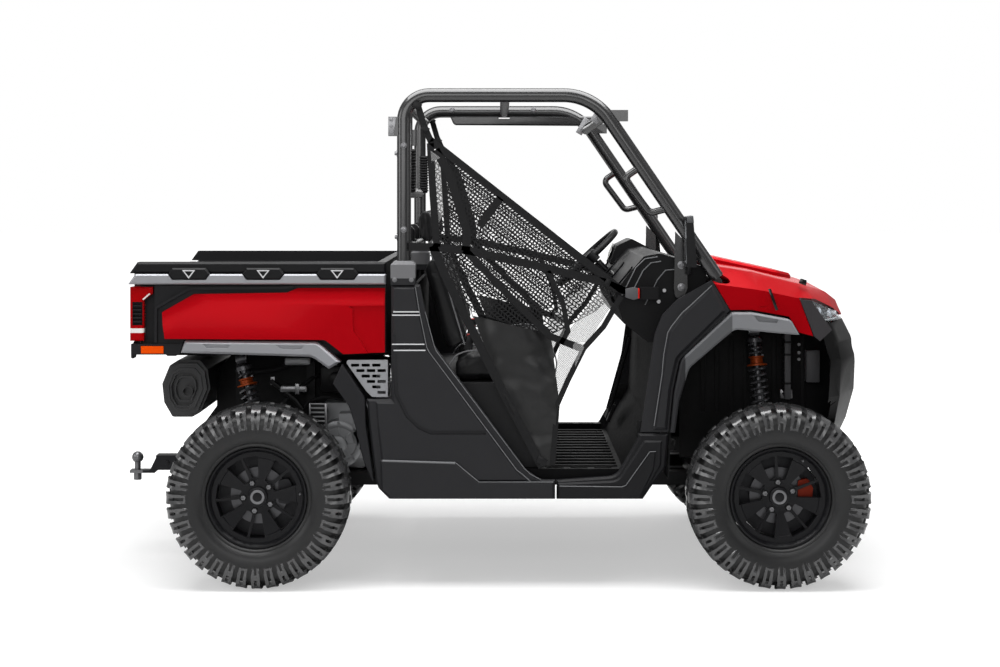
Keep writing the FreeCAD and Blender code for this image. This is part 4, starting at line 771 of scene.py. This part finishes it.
# Seat belts
# Black webbing from a retractor on the cross tube over each back and down to the buckle beside the
# cushion, with a metal tongue and a black latch with a red button.
BELT_RUN = [(-312, 1372), (-306, 1398), (-290, 1410), (-262, 1412), (-232, 1392), (-196, 1330), (-172, 1290),
            (-152, 1232), (-104, 1080), (-66, 966), (-52, 948)]
webbing = finish("webbing", (28, 28, 29), 0.6, mottle=0.1)
weave = webbing.node_tree
ribs = add_node(weave, "ShaderNodeTexWave", {"Vector": object_place(weave), "Scale": 260},
                bands_direction="DIAGONAL")
feed_surface(weave, {"Normal": bumped(weave, ribs.outputs["Fac"], 0.35, 0.4)})
black_plastic = finish("black_plastic", (28, 28, 29), 0.36, grain=0.08)
latch_plastic = finish("latch_plastic", (84, 84, 86), 0.4, grain=0.2)
red_button = finish("red_button", (214, 36, 22), 0.3, mottle=0.04, grain=0.05)


def strap(points, wide, thick):
    """A flat band whose middle follows (x, z) points, with its width along Y."""
    shape = bmesh.new()
    edges = chain(shape, [(x, -wide / 2, z) for x, z in points])[1]
    slide(shape, bmesh.ops.extrude_edge_only(shape, edges=edges), (0, wide, 0))
    bmesh.ops.solidify(shape, geom=shape.faces[:], thickness=thick)
    return shape


belts = bmesh.new()
hardware = bmesh.new()
for y, _ in SEATS:
    put(belts, strap(BELT_RUN, 46, 1.6), at(0, y + 168))
    retractor = [(-344, 1356), (-344, 1420), (-318, 1422), (-300, 1404), (-300, 1356)]
    put(hardware, block(retractor, y + 143, y + 195, 4))
    put(hardware, block([(-88, 930), (-70, 990), (-44, 990), (-52, 930)], y - 196, y - 172, 3))
    put(hardware, painted(block([(-73, 986), (-71, 993), (-47, 993), (-48, 986)], y - 193, y - 175), 1))
    tongue = block([(-186, 1290), (-172, 1330), (-168, 1328), (-180, 1288)], y + 140, y + 198, 1)
    put(hardware, painted(tongue, 2))
make("belt_webbing", belts, webbing, instead_of=["seat_belts"])
make("belt_hardware", hardware, black_plastic, red_button, steel)

# Side nets
# Black netting edged and crossed with webbing, with light fine mesh in its corners and a closed cloth at
# its foot. Webbing loops hang it from the cage. A buckle with a grey latch and a red button holds its
# front to the dash, beside two bolts.
NET_Y = 704
NET_SLOPE = math.atan2(-592, 750)
UPPER_NET = [(-205, 1762), (532, 1180), (440, 1090), (250, 990), (-54, 1090), (-160, 1240), (-196, 1380)]
FOOT_CLOTH = [(-47, 1072), (262, 1000), (292, 750), (262, 478), (224, 478), (62, 790)]
FINE_PATCHES = ([(452, 1180), (498, 1108), (408, 968), (296, 966), (330, 1010)],
                [(300, 985), (398, 960), (300, 745), (270, 770)],
                [(-214, 1726), (-178, 1700), (-164, 1480), (-192, 1420)])
BANDS = (
    ([(-268, 1916), (-243, 1830), (-213, 1761)], 26),
    ([(-216, 1768), (160, 1473), (540, 1176), (600, 1160)], 30),
    ([(-216, 1756), (-206, 1560), (-190, 1345)], 28),
    ([(-300, 1346), (-190, 1344), (-70, 1332), (200, 1272), (470, 1206), (560, 1168)], 32),
    ([(-206, 1350), (-150, 1216), (-64, 1044), (80, 756), (228, 474)], 34),
    ([(-80, 1334), (90, 1158), (258, 992), (380, 944)], 28),
    ([(-196, 1730), (-138, 1630), (-100, 1500), (-70, 1400), (-76, 1330)], 34),
    ([(62, 1540), (18, 1480), (-22, 1424)], 30),
    ([(540, 1150), (470, 1030), (392, 944), (330, 820), (286, 720), (268, 480)], 22),
    ([(250, 1250), (310, 1120), (330, 1010), (300, 962)], 20),
)
FOLD_HEIGHT = 3.2
CREASE_HEIGHT = 3
CREASE_SIZE = 70
SLIDERS = ((-268, 1906, 34, 26), (-236, 1812, 32, 22), (226, 498, 40, 30), (486, 1204, 22, 34))
net_cord = finish("net_cord", (30, 30, 31), 0.62, mottle=0.12, grain=0.3, grain_size=1.2)
fine_mesh = finish("fine_mesh", (150, 150, 150), 0.6, mottle=0.06, grain=0.2, grain_size=1.0)
net_cloth = finish("net_cloth", (18, 18, 19), 0.4, mottle=0.15, grain=0.2, grain_size=1.6, shine=0.45)


def folds(x, z):
    """How far the hung cloth stands out at a point, in mm."""
    wave = math.sin((x + 0.45 * z) / 34) + 0.6 * math.sin((0.5 * x - z) / 47)
    return FOLD_HEIGHT * wave + CREASE_HEIGHT * noise.noise((x / CREASE_SIZE, z / CREASE_SIZE, 0))


def cloth_piece(outline, cell, slope=0.0, holes=0.0, thick=1.2, waves=1.0):
    """A sheet with a convex (x, z) outline, of cells with holes of that inset, hung slightly wavy."""
    shape = bmesh.new()
    lean = Matrix.Rotation(-slope, 4, "Y")
    corners = [Vector((x, 0, z)) for x, z in outline]
    flat = [lean.inverted() @ corner for corner in corners]
    low = Vector((min(spot.x for spot in flat), 0, min(spot.z for spot in flat)))
    high = Vector((max(spot.x for spot in flat), 0, max(spot.z for spot in flat)))
    wide = round((high.x - low.x) / cell) + 2
    tall = round((high.z - low.z) / cell) + 2
    bmesh.ops.create_grid(shape, x_segments=wide, y_segments=tall, size=0.5)
    for corner in shape.verts:
        row = round((corner.co.y + 0.5) * tall)
        shift = cell / 2 if holes and row % 2 else 0
        corner.co = (low.x - cell + (corner.co.x + 0.5) * wide * cell + shift, 0, low.z - cell + row * cell)
    shape.transform(lean)
    middle = sum(corners, Vector()) / len(corners)
    for start, end in zip(corners, corners[1:] + corners[:1]):
        normal = Vector((end.z - start.z, 0, start.x - end.x))
        if normal.dot(middle - start) > 0:
            normal.negate()
        cut(shape, start, normal)
    if holes:
        bmesh.ops.inset_individual(shape, faces=shape.faces[:], thickness=holes)
        middles = [face for face in shape.faces if all(len(edge.link_faces) == 2 for edge in face.edges)
                   and all(len(corner.link_faces) == 3 for corner in face.verts)]
        bmesh.ops.delete(shape, geom=middles, context="FACES")
    bmesh.ops.solidify(shape, geom=shape.faces[:], thickness=thick)
    for corner in shape.verts:
        corner.co.y += waves * folds(corner.co.x, corner.co.z)
    return shape


def sewn(points, wide, thick=2.4):
    """A flat band along (x, z) points in the net's plane."""
    shape = bmesh.new()
    corners, edges = chain(shape, [(x, 0, z) for x, z in points])
    aside = {}
    for number, (x, z) in enumerate(points):
        before = Vector(points[max(number - 1, 0)])
        after = Vector(points[min(number + 1, len(points) - 1)])
        run = (after - before).normalized()
        aside[(round(x), round(z))] = Vector((-run.y, 0, run.x)) * wide / 2
    bmesh.ops.extrude_edge_only(shape, edges=edges)
    for corner in shape.verts:
        step = aside[(round(corner.co.x), round(corner.co.z))]
        corner.co += step if corner in corners else -step
    slide(shape, bmesh.ops.extrude_face_region(shape, geom=shape.faces[:], use_keep_orig=True), (0, thick, 0))
    return shape


def shell_area(shape):
    """Area of one side of a thin sheet, in square metres."""
    return sum(face.calc_area() for face in shape.faces) / 2 * MM * MM


for side, sign in SIDES.items():
    netting = cloth_piece(UPPER_NET, 15, NET_SLOPE, holes=3.6)
    area = shell_area(netting)
    netting.transform(at(0, NET_Y * sign))
    main_net = make("netting_" + side, netting, net_cord, instead_of=["net_" + side])
    foot = cloth_piece(FOOT_CLOTH, 9, waves=3.4)
    foot_area = shell_area(foot)
    foot.transform(at(0, NET_Y * sign))
    foot_cloth = make("foot_cloth_" + side, foot, net_cloth)
    patches = bmesh.new()
    for outline in FINE_PATCHES:
        put(patches, cloth_piece(outline, 5.2, NET_SLOPE, holes=1.2, thick=0.8), at(0, (NET_Y + 3) * sign))
    fine_patches = make("fine_patches_" + side, patches, fine_mesh)
    bands = bmesh.new()
    for points, wide in BANDS:
        put(bands, sewn(points, wide), at(0, (NET_Y + 4) * sign - 1.2))
    net_bands = make("net_bands_" + side, bands, webbing)
    buckles = bmesh.new()
    near = (NET_Y + 5) * sign
    for x, z, wide, tall in SLIDERS:
        slider = slab((-wide / 2, wide / 2), (-4, 4), (-tall / 2, tall / 2))
        put(buckles, slider, at(x, near, z) @ Matrix.Rotation(0.5, 4, "Y"))
    tongue = block([(556, 1146), (556, 1180), (588, 1186), (606, 1182), (606, 1140), (588, 1136)], -5, 5, 2)
    put(buckles, painted(tongue, 2), at(0, near))
    for x, z in ((712, 1172), (690, 1128)):
        stud = painted(turned([(0, 8), (6, 7), (6, 0)], 16), 3)
        put(buckles, stud, at(x, 690 * sign, z) @ Matrix.Scale(sign, 4, (0, 1, 0)))
    button = block([(598, 1141), (598, 1181), (613, 1181), (613, 1141)], -9, 9, 2)
    put(buckles, painted(button, 1), at(0, 696 * sign))
    make("net_buckles_" + side, buckles, black_plastic, red_button, latch_plastic, steel)

# Cage fittings
# Hexagon bolts with washers clamp the pillars, the leg plates and the header pad, and light plates cover
# the brackets. A ribbed sleeve guards an upright rod beside each rear pillar.
SIDE_BOLTS = ((19, 782, 678, 1273), (19, 782, 678, 1184), (9, -372, 690, 1798), (9, -372, 690, 1824),
              (9, -372, 690, 1850), (11, -356, 731, 1216), (11, -290, 731, 1216))
plate_steel = finish("plate_steel", (150, 150, 152), 0.34, metallic=0.75, mottle=0.05, grain=0.06)


def bolt(across):
    """A hexagon head on its washer, standing along Y from the origin."""
    shape = turned([(-1, 0), (-1, 0.85 * across), (1.5, 0.85 * across), (2, 0.8 * across), (2, 0)], 20)
    head = [(1, 0), (1, 0.55 * across), (0.5 * across, 0.55 * across), (0.6 * across, 0.46 * across),
            (0.6 * across, 0)]
    put(shape, turned(head, 6))
    return shape


def ribbed(count, pitch, crest, low, high):
    """The (along, radius) points of a ribbed sleeve."""
    points = []
    for fold in range(count):
        points += [(pitch * fold, low), (pitch * fold + crest, high)]
    return points


fixings = bmesh.new()
plates = bmesh.new()
sleeves = bmesh.new()
for sign in SIDES.values():
    outward = (0, sign, 0)
    for z in (1717, 1384):
        put(fixings, bolt(17), facing((-349, 672 * sign, z), (-1, 0, 0)))
        put(fixings, bolt(15), facing((-322, 699 * sign, z + 30), outward))
    for x in (-167, 219):
        put(fixings, bolt(16), facing((x, 645 * sign, 1955), (0, -sign, 0)))
    for size, x, y, z in SIDE_BOLTS:
        put(fixings, bolt(size), facing((x, y * sign, z), outward))
    bracket = block([(-384, 1788), (-384, 1860), (-352, 1860), (-362, 1788)], -1.5, 1.5, 1)
    clamp = block([(420, 1850), (462, 1922), (490, 1906), (448, 1834)], -2, 2, 1.5)
    put(plates, bracket, at(0, 689 * sign))
    put(plates, clamp, at(0, 642 * sign))
    rod = 590 * sign
    sleeve = turned([(-6, 9), (-6, 17)] + ribbed(14, 12, 6, 17, 23) + [(170, 17), (170, 9)], 20)
    put(sleeves, sleeve, facing((-300, rod, 1566), (0, 0, 1)))
    put(sleeves, pipe([(-322, rod, 1562), (-300, rod, 1575), (-300, rod, 1880), (-300, rod, 1900)], 8))
make("cage_bolts", fixings, zinc)
make("cage_plates", plates, plate_steel)
make("pillar_sleeves", sleeves, boot_rubber)

# Painted highlights along the side panels' edges
# A thin light bead follows the raised edges of each side panel, sill and cowl, and three short ones run
# over the side of the dash, all as painted highlights. Two pairs of bright strips in the panel's grooves
# behind the door opening are painted reflections, and a grey rod along the rear of each sill is a painted
# highlight.
PANEL_LINES = (
    (732.5, ((-274, 1188), (-258, 1090), (-229, 950), (-220, 932), (126, 466), (150, 448), (180, 421))),
    (723, ((-236, 1090), (-201, 958), (-192, 934), (156, 470), (180, 448), (222, 425))),
    (741, ((-114, 495), (-23, 420), (270, 420))),
    (741, ((296, 404), (540, 401), (556, 407), (650, 539), (674, 540))),
    (731, ((668, 640), (699, 840), (706, 920), (722, 1008), (736, 1032), (780, 1088), (796, 1101),
           (896, 1194))),
)
DASH_LINES = (((548, 1150), (604, 1262), (640, 1296), (690, 1304)),
              ((582, 1150), (632, 1248), (664, 1280), (704, 1286)),
              ((640, 1112), (690, 1212), (722, 1250), (766, 1254)))
BRIGHT_STRIPS = ((1090, -362, -258), (1077, -366, -256), (962, -366, -238), (938, -360, -234))
edge_trim = finish("edge_trim", (112, 113, 115), 0.35, mottle=0.05)
bright_trim = finish("bright_trim", (206, 207, 209), 0.3, mottle=0.03)
glint_pieces = bmesh.new()
for sign in SIDES.values():
    # Painted highlights along the raised panel edges, the sill and the dash.
    for y, line in PANEL_LINES:
        put(glint_pieces, pipe([(x, y * sign, z) for x, z in line], 1.6))
    put(glint_pieces, pipe([(-404, 738 * sign, 503), (-116, 738 * sign, 494)], 4.5))
    for line in DASH_LINES:
        put(glint_pieces, pipe([(x, 641 * sign, z) for x, z in line], 2.2))
    # Painted reflections in the panel's grooves.
    for z, start, end in BRIGHT_STRIPS:
        put(glint_pieces, painted(slab((start, end), (-1, 1.2), (z - 2.4, z + 2.4), 1), 1), at(0, 735 * sign))
make("edge_beads", glint_pieces, edge_trim, bright_trim)

# Tail lamp details
# Red light bars cross the recess of each lamp, which painted shade darkens, and a white corner line
# beside it is a painted highlight.
white_lens = finish("white_lens", (226, 226, 222), 0.2, coat=0.4, mottle=0.03)
bars = bmesh.new()
for sign in SIDES.values():
    for row in range(5):
        put(bars, slab((-1398, -1360), (-1.5, 1.5), (1044 + 16 * row, 1050 + 16 * row), 1), at(0, 698 * sign))
    # Painted highlight: a white line along the lamp's corner edge.
    put(bars, painted(pipe([(-1328, 699 * sign, 1160), (-1356, 699 * sign, 1136)], 3), 1))
make("lamp_bars", bars, tail_lens, white_lens, rides="bed")

# Dashboard and controls
# Grained dash with a display in a gloss frame, a row of gloss rocker switches, slotted air vents and a
# glove box lid. The pedals have cross ribs. The steering wheel has a soft rim and a bare centre pad.
DISPLAY = facing((572, 430, 1284), (-0.93, 0, 0.36))
DASH_FACING = (-0.8, 0, 0.6)
WHEEL_CENTRE = facing((465, 430, 1261), (-0.682, 0, 0.731))
dash_plastic = finish("dash_plastic", (26, 26, 27), 0.45, grain=0.3, shine=0.12)
gloss_black = finish("gloss_black", (14, 14, 15), 0.1, coat=0.6, mottle=0.04)
grip = finish("grip", (26, 26, 27), 0.45, grain=0.4, grain_size=1.6)
dress(dash_plastic, 3, "dashboard")
dress(grip, 0.8, "steering_wheel")
dress(dash_plastic, 1.5, "pedals")
controls = bmesh.new()
put(controls, painted(slab((-62, 62), (-1, 5), (-30, 30), 3), 1), DISPLAY)
put(controls, painted(slab((-56, 56), (4, 5.6), (-25, 25), 0.6), 2), DISPLAY)
for place in range(6):
    switch = painted(slab((-11, 11), (-2, 6), (-19, 19), 2.5), 1)
    put(controls, switch, facing((547, -75 + 30 * place, 1200), DASH_FACING))
for y in (-590, -130, 250, 590):
    for row in range(5):
        stand = facing((556 + 5 * row, y, 1212 + 7 * row), DASH_FACING)
        put(controls, slab((-34, 34), (-2, 4), (-2.5, 2.5), 1), stand @ rotated(90, "Y"))
put(controls, block([(566, 1064), (532, 1140), (536, 1142), (570, 1066)], -548, -172, 1))
put(controls, painted(slab((530, 540), (-390, -330), (1134, 1144)), 1))
for y, width in ((330, 56), (450, 90)):
    for row in range(5):
        rib = slab((-3, 3), (5 - width / 2, width / 2 - 5), (-3, 3), 1)
        put(controls, rib, at(560 + 6 * row, y, 528 + 14 * row))
make("dash_controls", controls, dash_plastic, gloss_black, white_lens)
centre_pad = bmesh.new()
put(centre_pad, turned([(2, 0), (2, 50), (8, 50), (13, 44), (15, 30), (15.5, 0)], 40), WHEEL_CENTRE)
put(centre_pad, turned([(13, 34), (16.5, 35), (16.5, 38), (12, 39)], 40), WHEEL_CENTRE)
make("wheel_pad", centre_pad, dash_plastic, rides="steering_wheel")

# Mirrors
# Upright black housings with a flat glass facing the rear and a grey cap.
MIRROR_Y = 753
mirror_glass = finish("mirror_glass", (205, 208, 212), 0.04, metallic=1.0, mottle=0.01)
dress(black_plastic, 3, "mirrors")
glass = bmesh.new()
caps = bmesh.new()
for sign in SIDES.values():
    pane = block([(789.5, 1284), (786.5, 1452), (788.5, 1452), (791.5, 1284)], -40, 40, 0.5)
    put(glass, pane, at(-0.6, MIRROR_Y * sign))
    cap = block([(786.5, 1440), (786.5, 1466), (815, 1471), (818, 1440)], -49.5, 49.5, 4)
    put(caps, cap, at(0, MIRROR_Y * sign))
make("mirror_glasses", glass, mirror_glass)
make("mirror_caps", caps, flare_plastic)

# Headlamps
# A clear lens wraps each front corner over a dark bezel with three bright bowls and a light bar.
LAMP_LINE = ((1303, 663), (1384, 599), (1430, 535), (1469, 421))
LAMP_FACING = (0.78, -0.62, 0)
clear_lens = finish("clear_lens", (222, 226, 230), 0.04, mottle=0.02)
feed_surface(clear_lens.node_tree, {"Transmission Weight": 0.92, "IOR": 1.25})
chrome = finish("chrome", (214, 215, 218), 0.08, metallic=1.0, mottle=0.03)


def lamp_wall(inward, low, thick):
    """A wall along the lamp's plan line, moved inwards, cut along the slope of the hood above it."""
    shape = bmesh.new()
    edges = chain(shape, [(x - 0.78 * inward, -y + 0.62 * inward, low) for x, y in LAMP_LINE])[1]
    slide(shape, bmesh.ops.extrude_edge_only(shape, edges=edges), (0, 0, 1128 - low))
    for x, z, rise in ((1312, 1126, 0.43), (1396, 1090, 0.6)):
        cut(shape, (x, 0, z), (rise, 0, 1))
    bmesh.ops.recalc_face_normals(shape, faces=shape.faces)
    bmesh.ops.solidify(shape, geom=shape.faces[:], thickness=thick)
    return shape


lens = bmesh.new()
bowls = bmesh.new()
for sign in SIDES.values():
    flip = Matrix.Scale(-sign, 4, (0, 1, 0))
    put(lens, lamp_wall(1, 1044, 3), flip)
    put(bowls, painted(lamp_wall(36, 1043, 8), 1), flip)
    for x, y, size in ((1352, 614, 24), (1408, 556, 20), (1446, 478, 16)):
        z = 1078 - 0.16 * (x - 1352)
        bowl = turned([(-2, 0), (0, 0.35 * size), (6, 0.75 * size), (14, size), (16, size + 2), (4, size + 2),
                       (-2, 0)], 28)
        put(bowls, bowl, flip @ facing((x - 26, -y + 20, z), LAMP_FACING))
        bulb = painted(turned([(0, 0), (0, 5), (9, 5), (12, 3), (13, 0)], 16), 2)
        put(bowls, bulb, flip @ facing((x - 24, -y + 18.5, z), LAMP_FACING))
    put(bowls, painted(pipe([(x - 14, -y + 11, 1049) for x, y in LAMP_LINE], 3), 2), flip)
make("lamp_lenses", lens, clear_lens, instead_of=["headlamps"])
make("lamp_bowls", bowls, chrome, gloss_black, white_lens)

# Nose details
# Black latch blocks beside the hood, an intake slit in each wing, two tow hooks under the fascia, and the
# radiator's core behind the honeycomb.
TOW_HOOK = ((1500, 676), (1534, 672), (1546, 688), (1534, 704), (1500, 700))
nose = bmesh.new()
for sign in SIDES.values():
    latch = block([(1262, 1196), (1270, 1216), (1294, 1208), (1290, 1186)], -10, 10, 3)
    slit = block([(1119, 1180), (1131, 1180), (1160, 1098), (1149, 1094)], -1.2, 1.2, 0.6)
    put(nose, latch, at(0, 600 * sign))
    put(nose, slit, at(0, 719.5 * sign))
    put(nose, pipe([(x, 150 * sign, z) for x, z in TOW_HOOK], 6, smooth=True))
make("nose_trims", nose, gloss_black)
core = finish("radiator_core", (70, 71, 72), 0.4, metallic=0.7, grain=0.3)
dress(core, 2, "radiator")
fins = bmesh.new()
for row in range(22):
    put(fins, slab((1371, 1377), (-288, 288), (612 + 15 * row, 616 + 15 * row), 0.8))
make("radiator_fins", fins, core)

# Engine, exhaust and chassis
# The engine's finned head, two round covers with their bolts and ribs, hoses, an air box and a black
# eight-sided silencer sit in a tube-and-plate frame. Black splash walls close the wheel wells towards the
# middle, the cowl and the foot of each wing. Inward of each front wheel stand a grey bar, a grey box and
# a ribbed rubber hose.
COVER_Y = -276
RIGHT = (0, -1, 0)
BELLOWS = [(0, 0)] + ribbed(16, 16, 9, 15, 20) + [(262, 15), (262, 0)]
FRONT_WALL = [(812, 450), (812, 900), (860, 980), (1000, 1004), (1395, 1004), (1478, 960), (1478, 652),
              (1425, 612), (1330, 606), (1010, 610), (960, 450)]
REAR_WALL = [(-1206, 574), (-1150, 650), (-1150, 800), (-1080, 876), (-500, 876), (-470, 800), (-470, 480),
             (-700, 440)]
HOSES = (
    (14, [(-470, -120, 806), (-440, -190, 850), (-370, -240, 820), (-350, -262, 700), (-380, -250, 600)]),
    (9, [(-640, -100, 760), (-720, -200, 780), (-800, -230, 720), (-880, -235, 640), (-900, -160, 520)]),
    (11, [(-560, -150, 800), (-640, -220, 846), (-760, -226, 850), (-900, -226, 812), (-1020, -226, 800)]),
    (7, [(-600, -276, 690), (-690, -290, 700), (-760, -260, 660), (-790, -200, 600), (-800, -120, 500)]),
)
BRACKETS = (
    ((-676, -667), (-304, -284), (546, 676), 1, 0),
    ((-742, -736), (-304, -284), (560, 676), 1, 0),
    ((-738, -672), (-292, -276), (552, 672), 2, 1),
    ((-864, -750), (-306, -270), (722, 750), 8, 0),
    ((-800, -782), (-310, -268), (714, 760), 3, 0),
    ((-905, -888), (-290, -284), (752, 786), 1, 0),
    ((-850, -740), (-270, -226), (832, 866), 10, 2),
    ((1232, 1284), (-334, -310), (700, 738), 4, 0),
)
BRACKET_BOLTS = ((8, 1314, -310, 924), (8, 1314, -310, 890), (8, 1314, -310, 862), (11, 1258, -334, 719))
frame_coat = finish("frame_coat", (24, 24, 25), 0.42, metallic=0.1, grain=0.2, grain_size=1.0)
alloy = finish("alloy", (156, 157, 159), 0.45, metallic=0.8, grain=0.35, grain_size=1.6)
hitch_zinc = finish("hitch_zinc", (118, 118, 120), 0.3, metallic=0.7, mottle=0.1)
recolor(hitch_zinc, (44, 44, 46), X=(-1.50, -1.0))
silencer_coat = finish("silencer_coat", (46, 46, 47), 0.3, metallic=0.2, coat=0.2, grain=0.05, shine=0.6)
floor_plastic = finish("floor_plastic", (16, 16, 17), 0.5, grain=0.2, shine=0.08)
dress(frame_coat, 2, "frame")
dress(liner_plastic, 1, "skid_plate")
dress(alloy, 3, "engine", "gearboxes")
dress(silencer_coat, 2, "exhaust")
dress(hitch_zinc, 0.6, "tow_hitch")
dress(floor_plastic, 1.2, "floor")
walls = bmesh.new()
drive = bmesh.new()
hoses = bmesh.new()
for sign in SIDES.values():
    put(walls, block(FRONT_WALL, -2, 2, 1), at(0, 306 * sign))
    for x in range(900, 1380, 60):
        put(walls, slab((x, x + 22), (-4, 4), (640, 960), 3), at(0, 308 * sign))
    put(walls, slab((960, 1150), (-2, 2), (1052, 1104)), at(0, 694 * sign))
    put(walls, slab((606, 700), (-2, 2), (580, 650)), at(0, 652 * sign))
    put(walls, block(REAR_WALL, -2, 2, 1), at(0, 256 if sign > 0 else -174))
    put(hoses, painted(slab((1246, 1271), (-14, 14), (700, 1000), 3), 1), at(0, 352 * sign))
    for z in (762, 882, 934):
        put(hoses, slab((1244, 1273), (-16, 16), (z, z + 9), 1), at(0, 352 * sign))
    put(hoses, painted(slab((1336, 1392), (-30, 30), (770, 905), 6), 1), at(0, 338 * sign))
    put(hoses, turned(BELLOWS, 20), facing((1258, 330 * sign, 712), (0, 0, 1)))
for row in range(7):
    put(drive, slab((-662 + 3 * row, -418 - 3 * row), (-168, 186), (700 + 14 * row, 704 + 14 * row), 1.2))
for x, z, radius, count in ((-440, 560, 116, 10), (-620, 500, 89, 8)):
    stand = facing((x, COVER_Y, z), RIGHT)
    ring = [(0, radius - 18), (4, radius - 17), (5, radius - 12), (5, radius + 6), (3, radius + 10),
            (0, radius + 10)]
    put(drive, turned(ring, 56), stand)
    put(drive, turned([(0, 0), (10, 0), (10, 24), (6, 34), (0, 36)], 40), stand)
    for spoke in range(count):
        angle = math.tau * spoke / count
        put(drive, bolt(9), facing((x + radius * math.cos(angle), -281, z + radius * math.sin(angle)), RIGHT))
        rib = slab((34, radius - 16), (-5, 0), (-3, 3), 1.5)
        put(drive, rib, at(x, COVER_Y, z) @ Matrix.Rotation(angle, 4, "Y"))
make("splash_walls", walls, liner_plastic)
make("engine_details", drive, alloy)
for radius, run in HOSES:
    put(hoses, pipe(run, radius, smooth=True))
make("hoses", hoses, boot_rubber, latch_plastic)
box_parts = slab((-700, -560), (-262, -196), (714, 830), 10)
inlet = turned([(-4, 0), (-4, 30), (0, 34), (20, 34), (24, 28), (24, 0)], 32)
put(box_parts, inlet, facing((-630, -262, 772), RIGHT))
make("air_box", box_parts, black_plastic)
brackets = bmesh.new()
for x, y, z, soft, index in BRACKETS:
    put(brackets, painted(slab(x, y, z, soft), index))
for z in range(562, 676, 18):
    put(brackets, slab((-742, -670), (-302, -290), (z, z + 6), 1))
put(brackets, painted(pipe([(-905, -286, 770), (-800, -292, 690), (-770, -292, 650)], 11), 1))
for size, *spot in BRACKET_BOLTS:
    put(brackets, bolt(size), facing(spot, RIGHT))
make("engine_brackets", brackets, plate_steel, frame_coat, alloy)
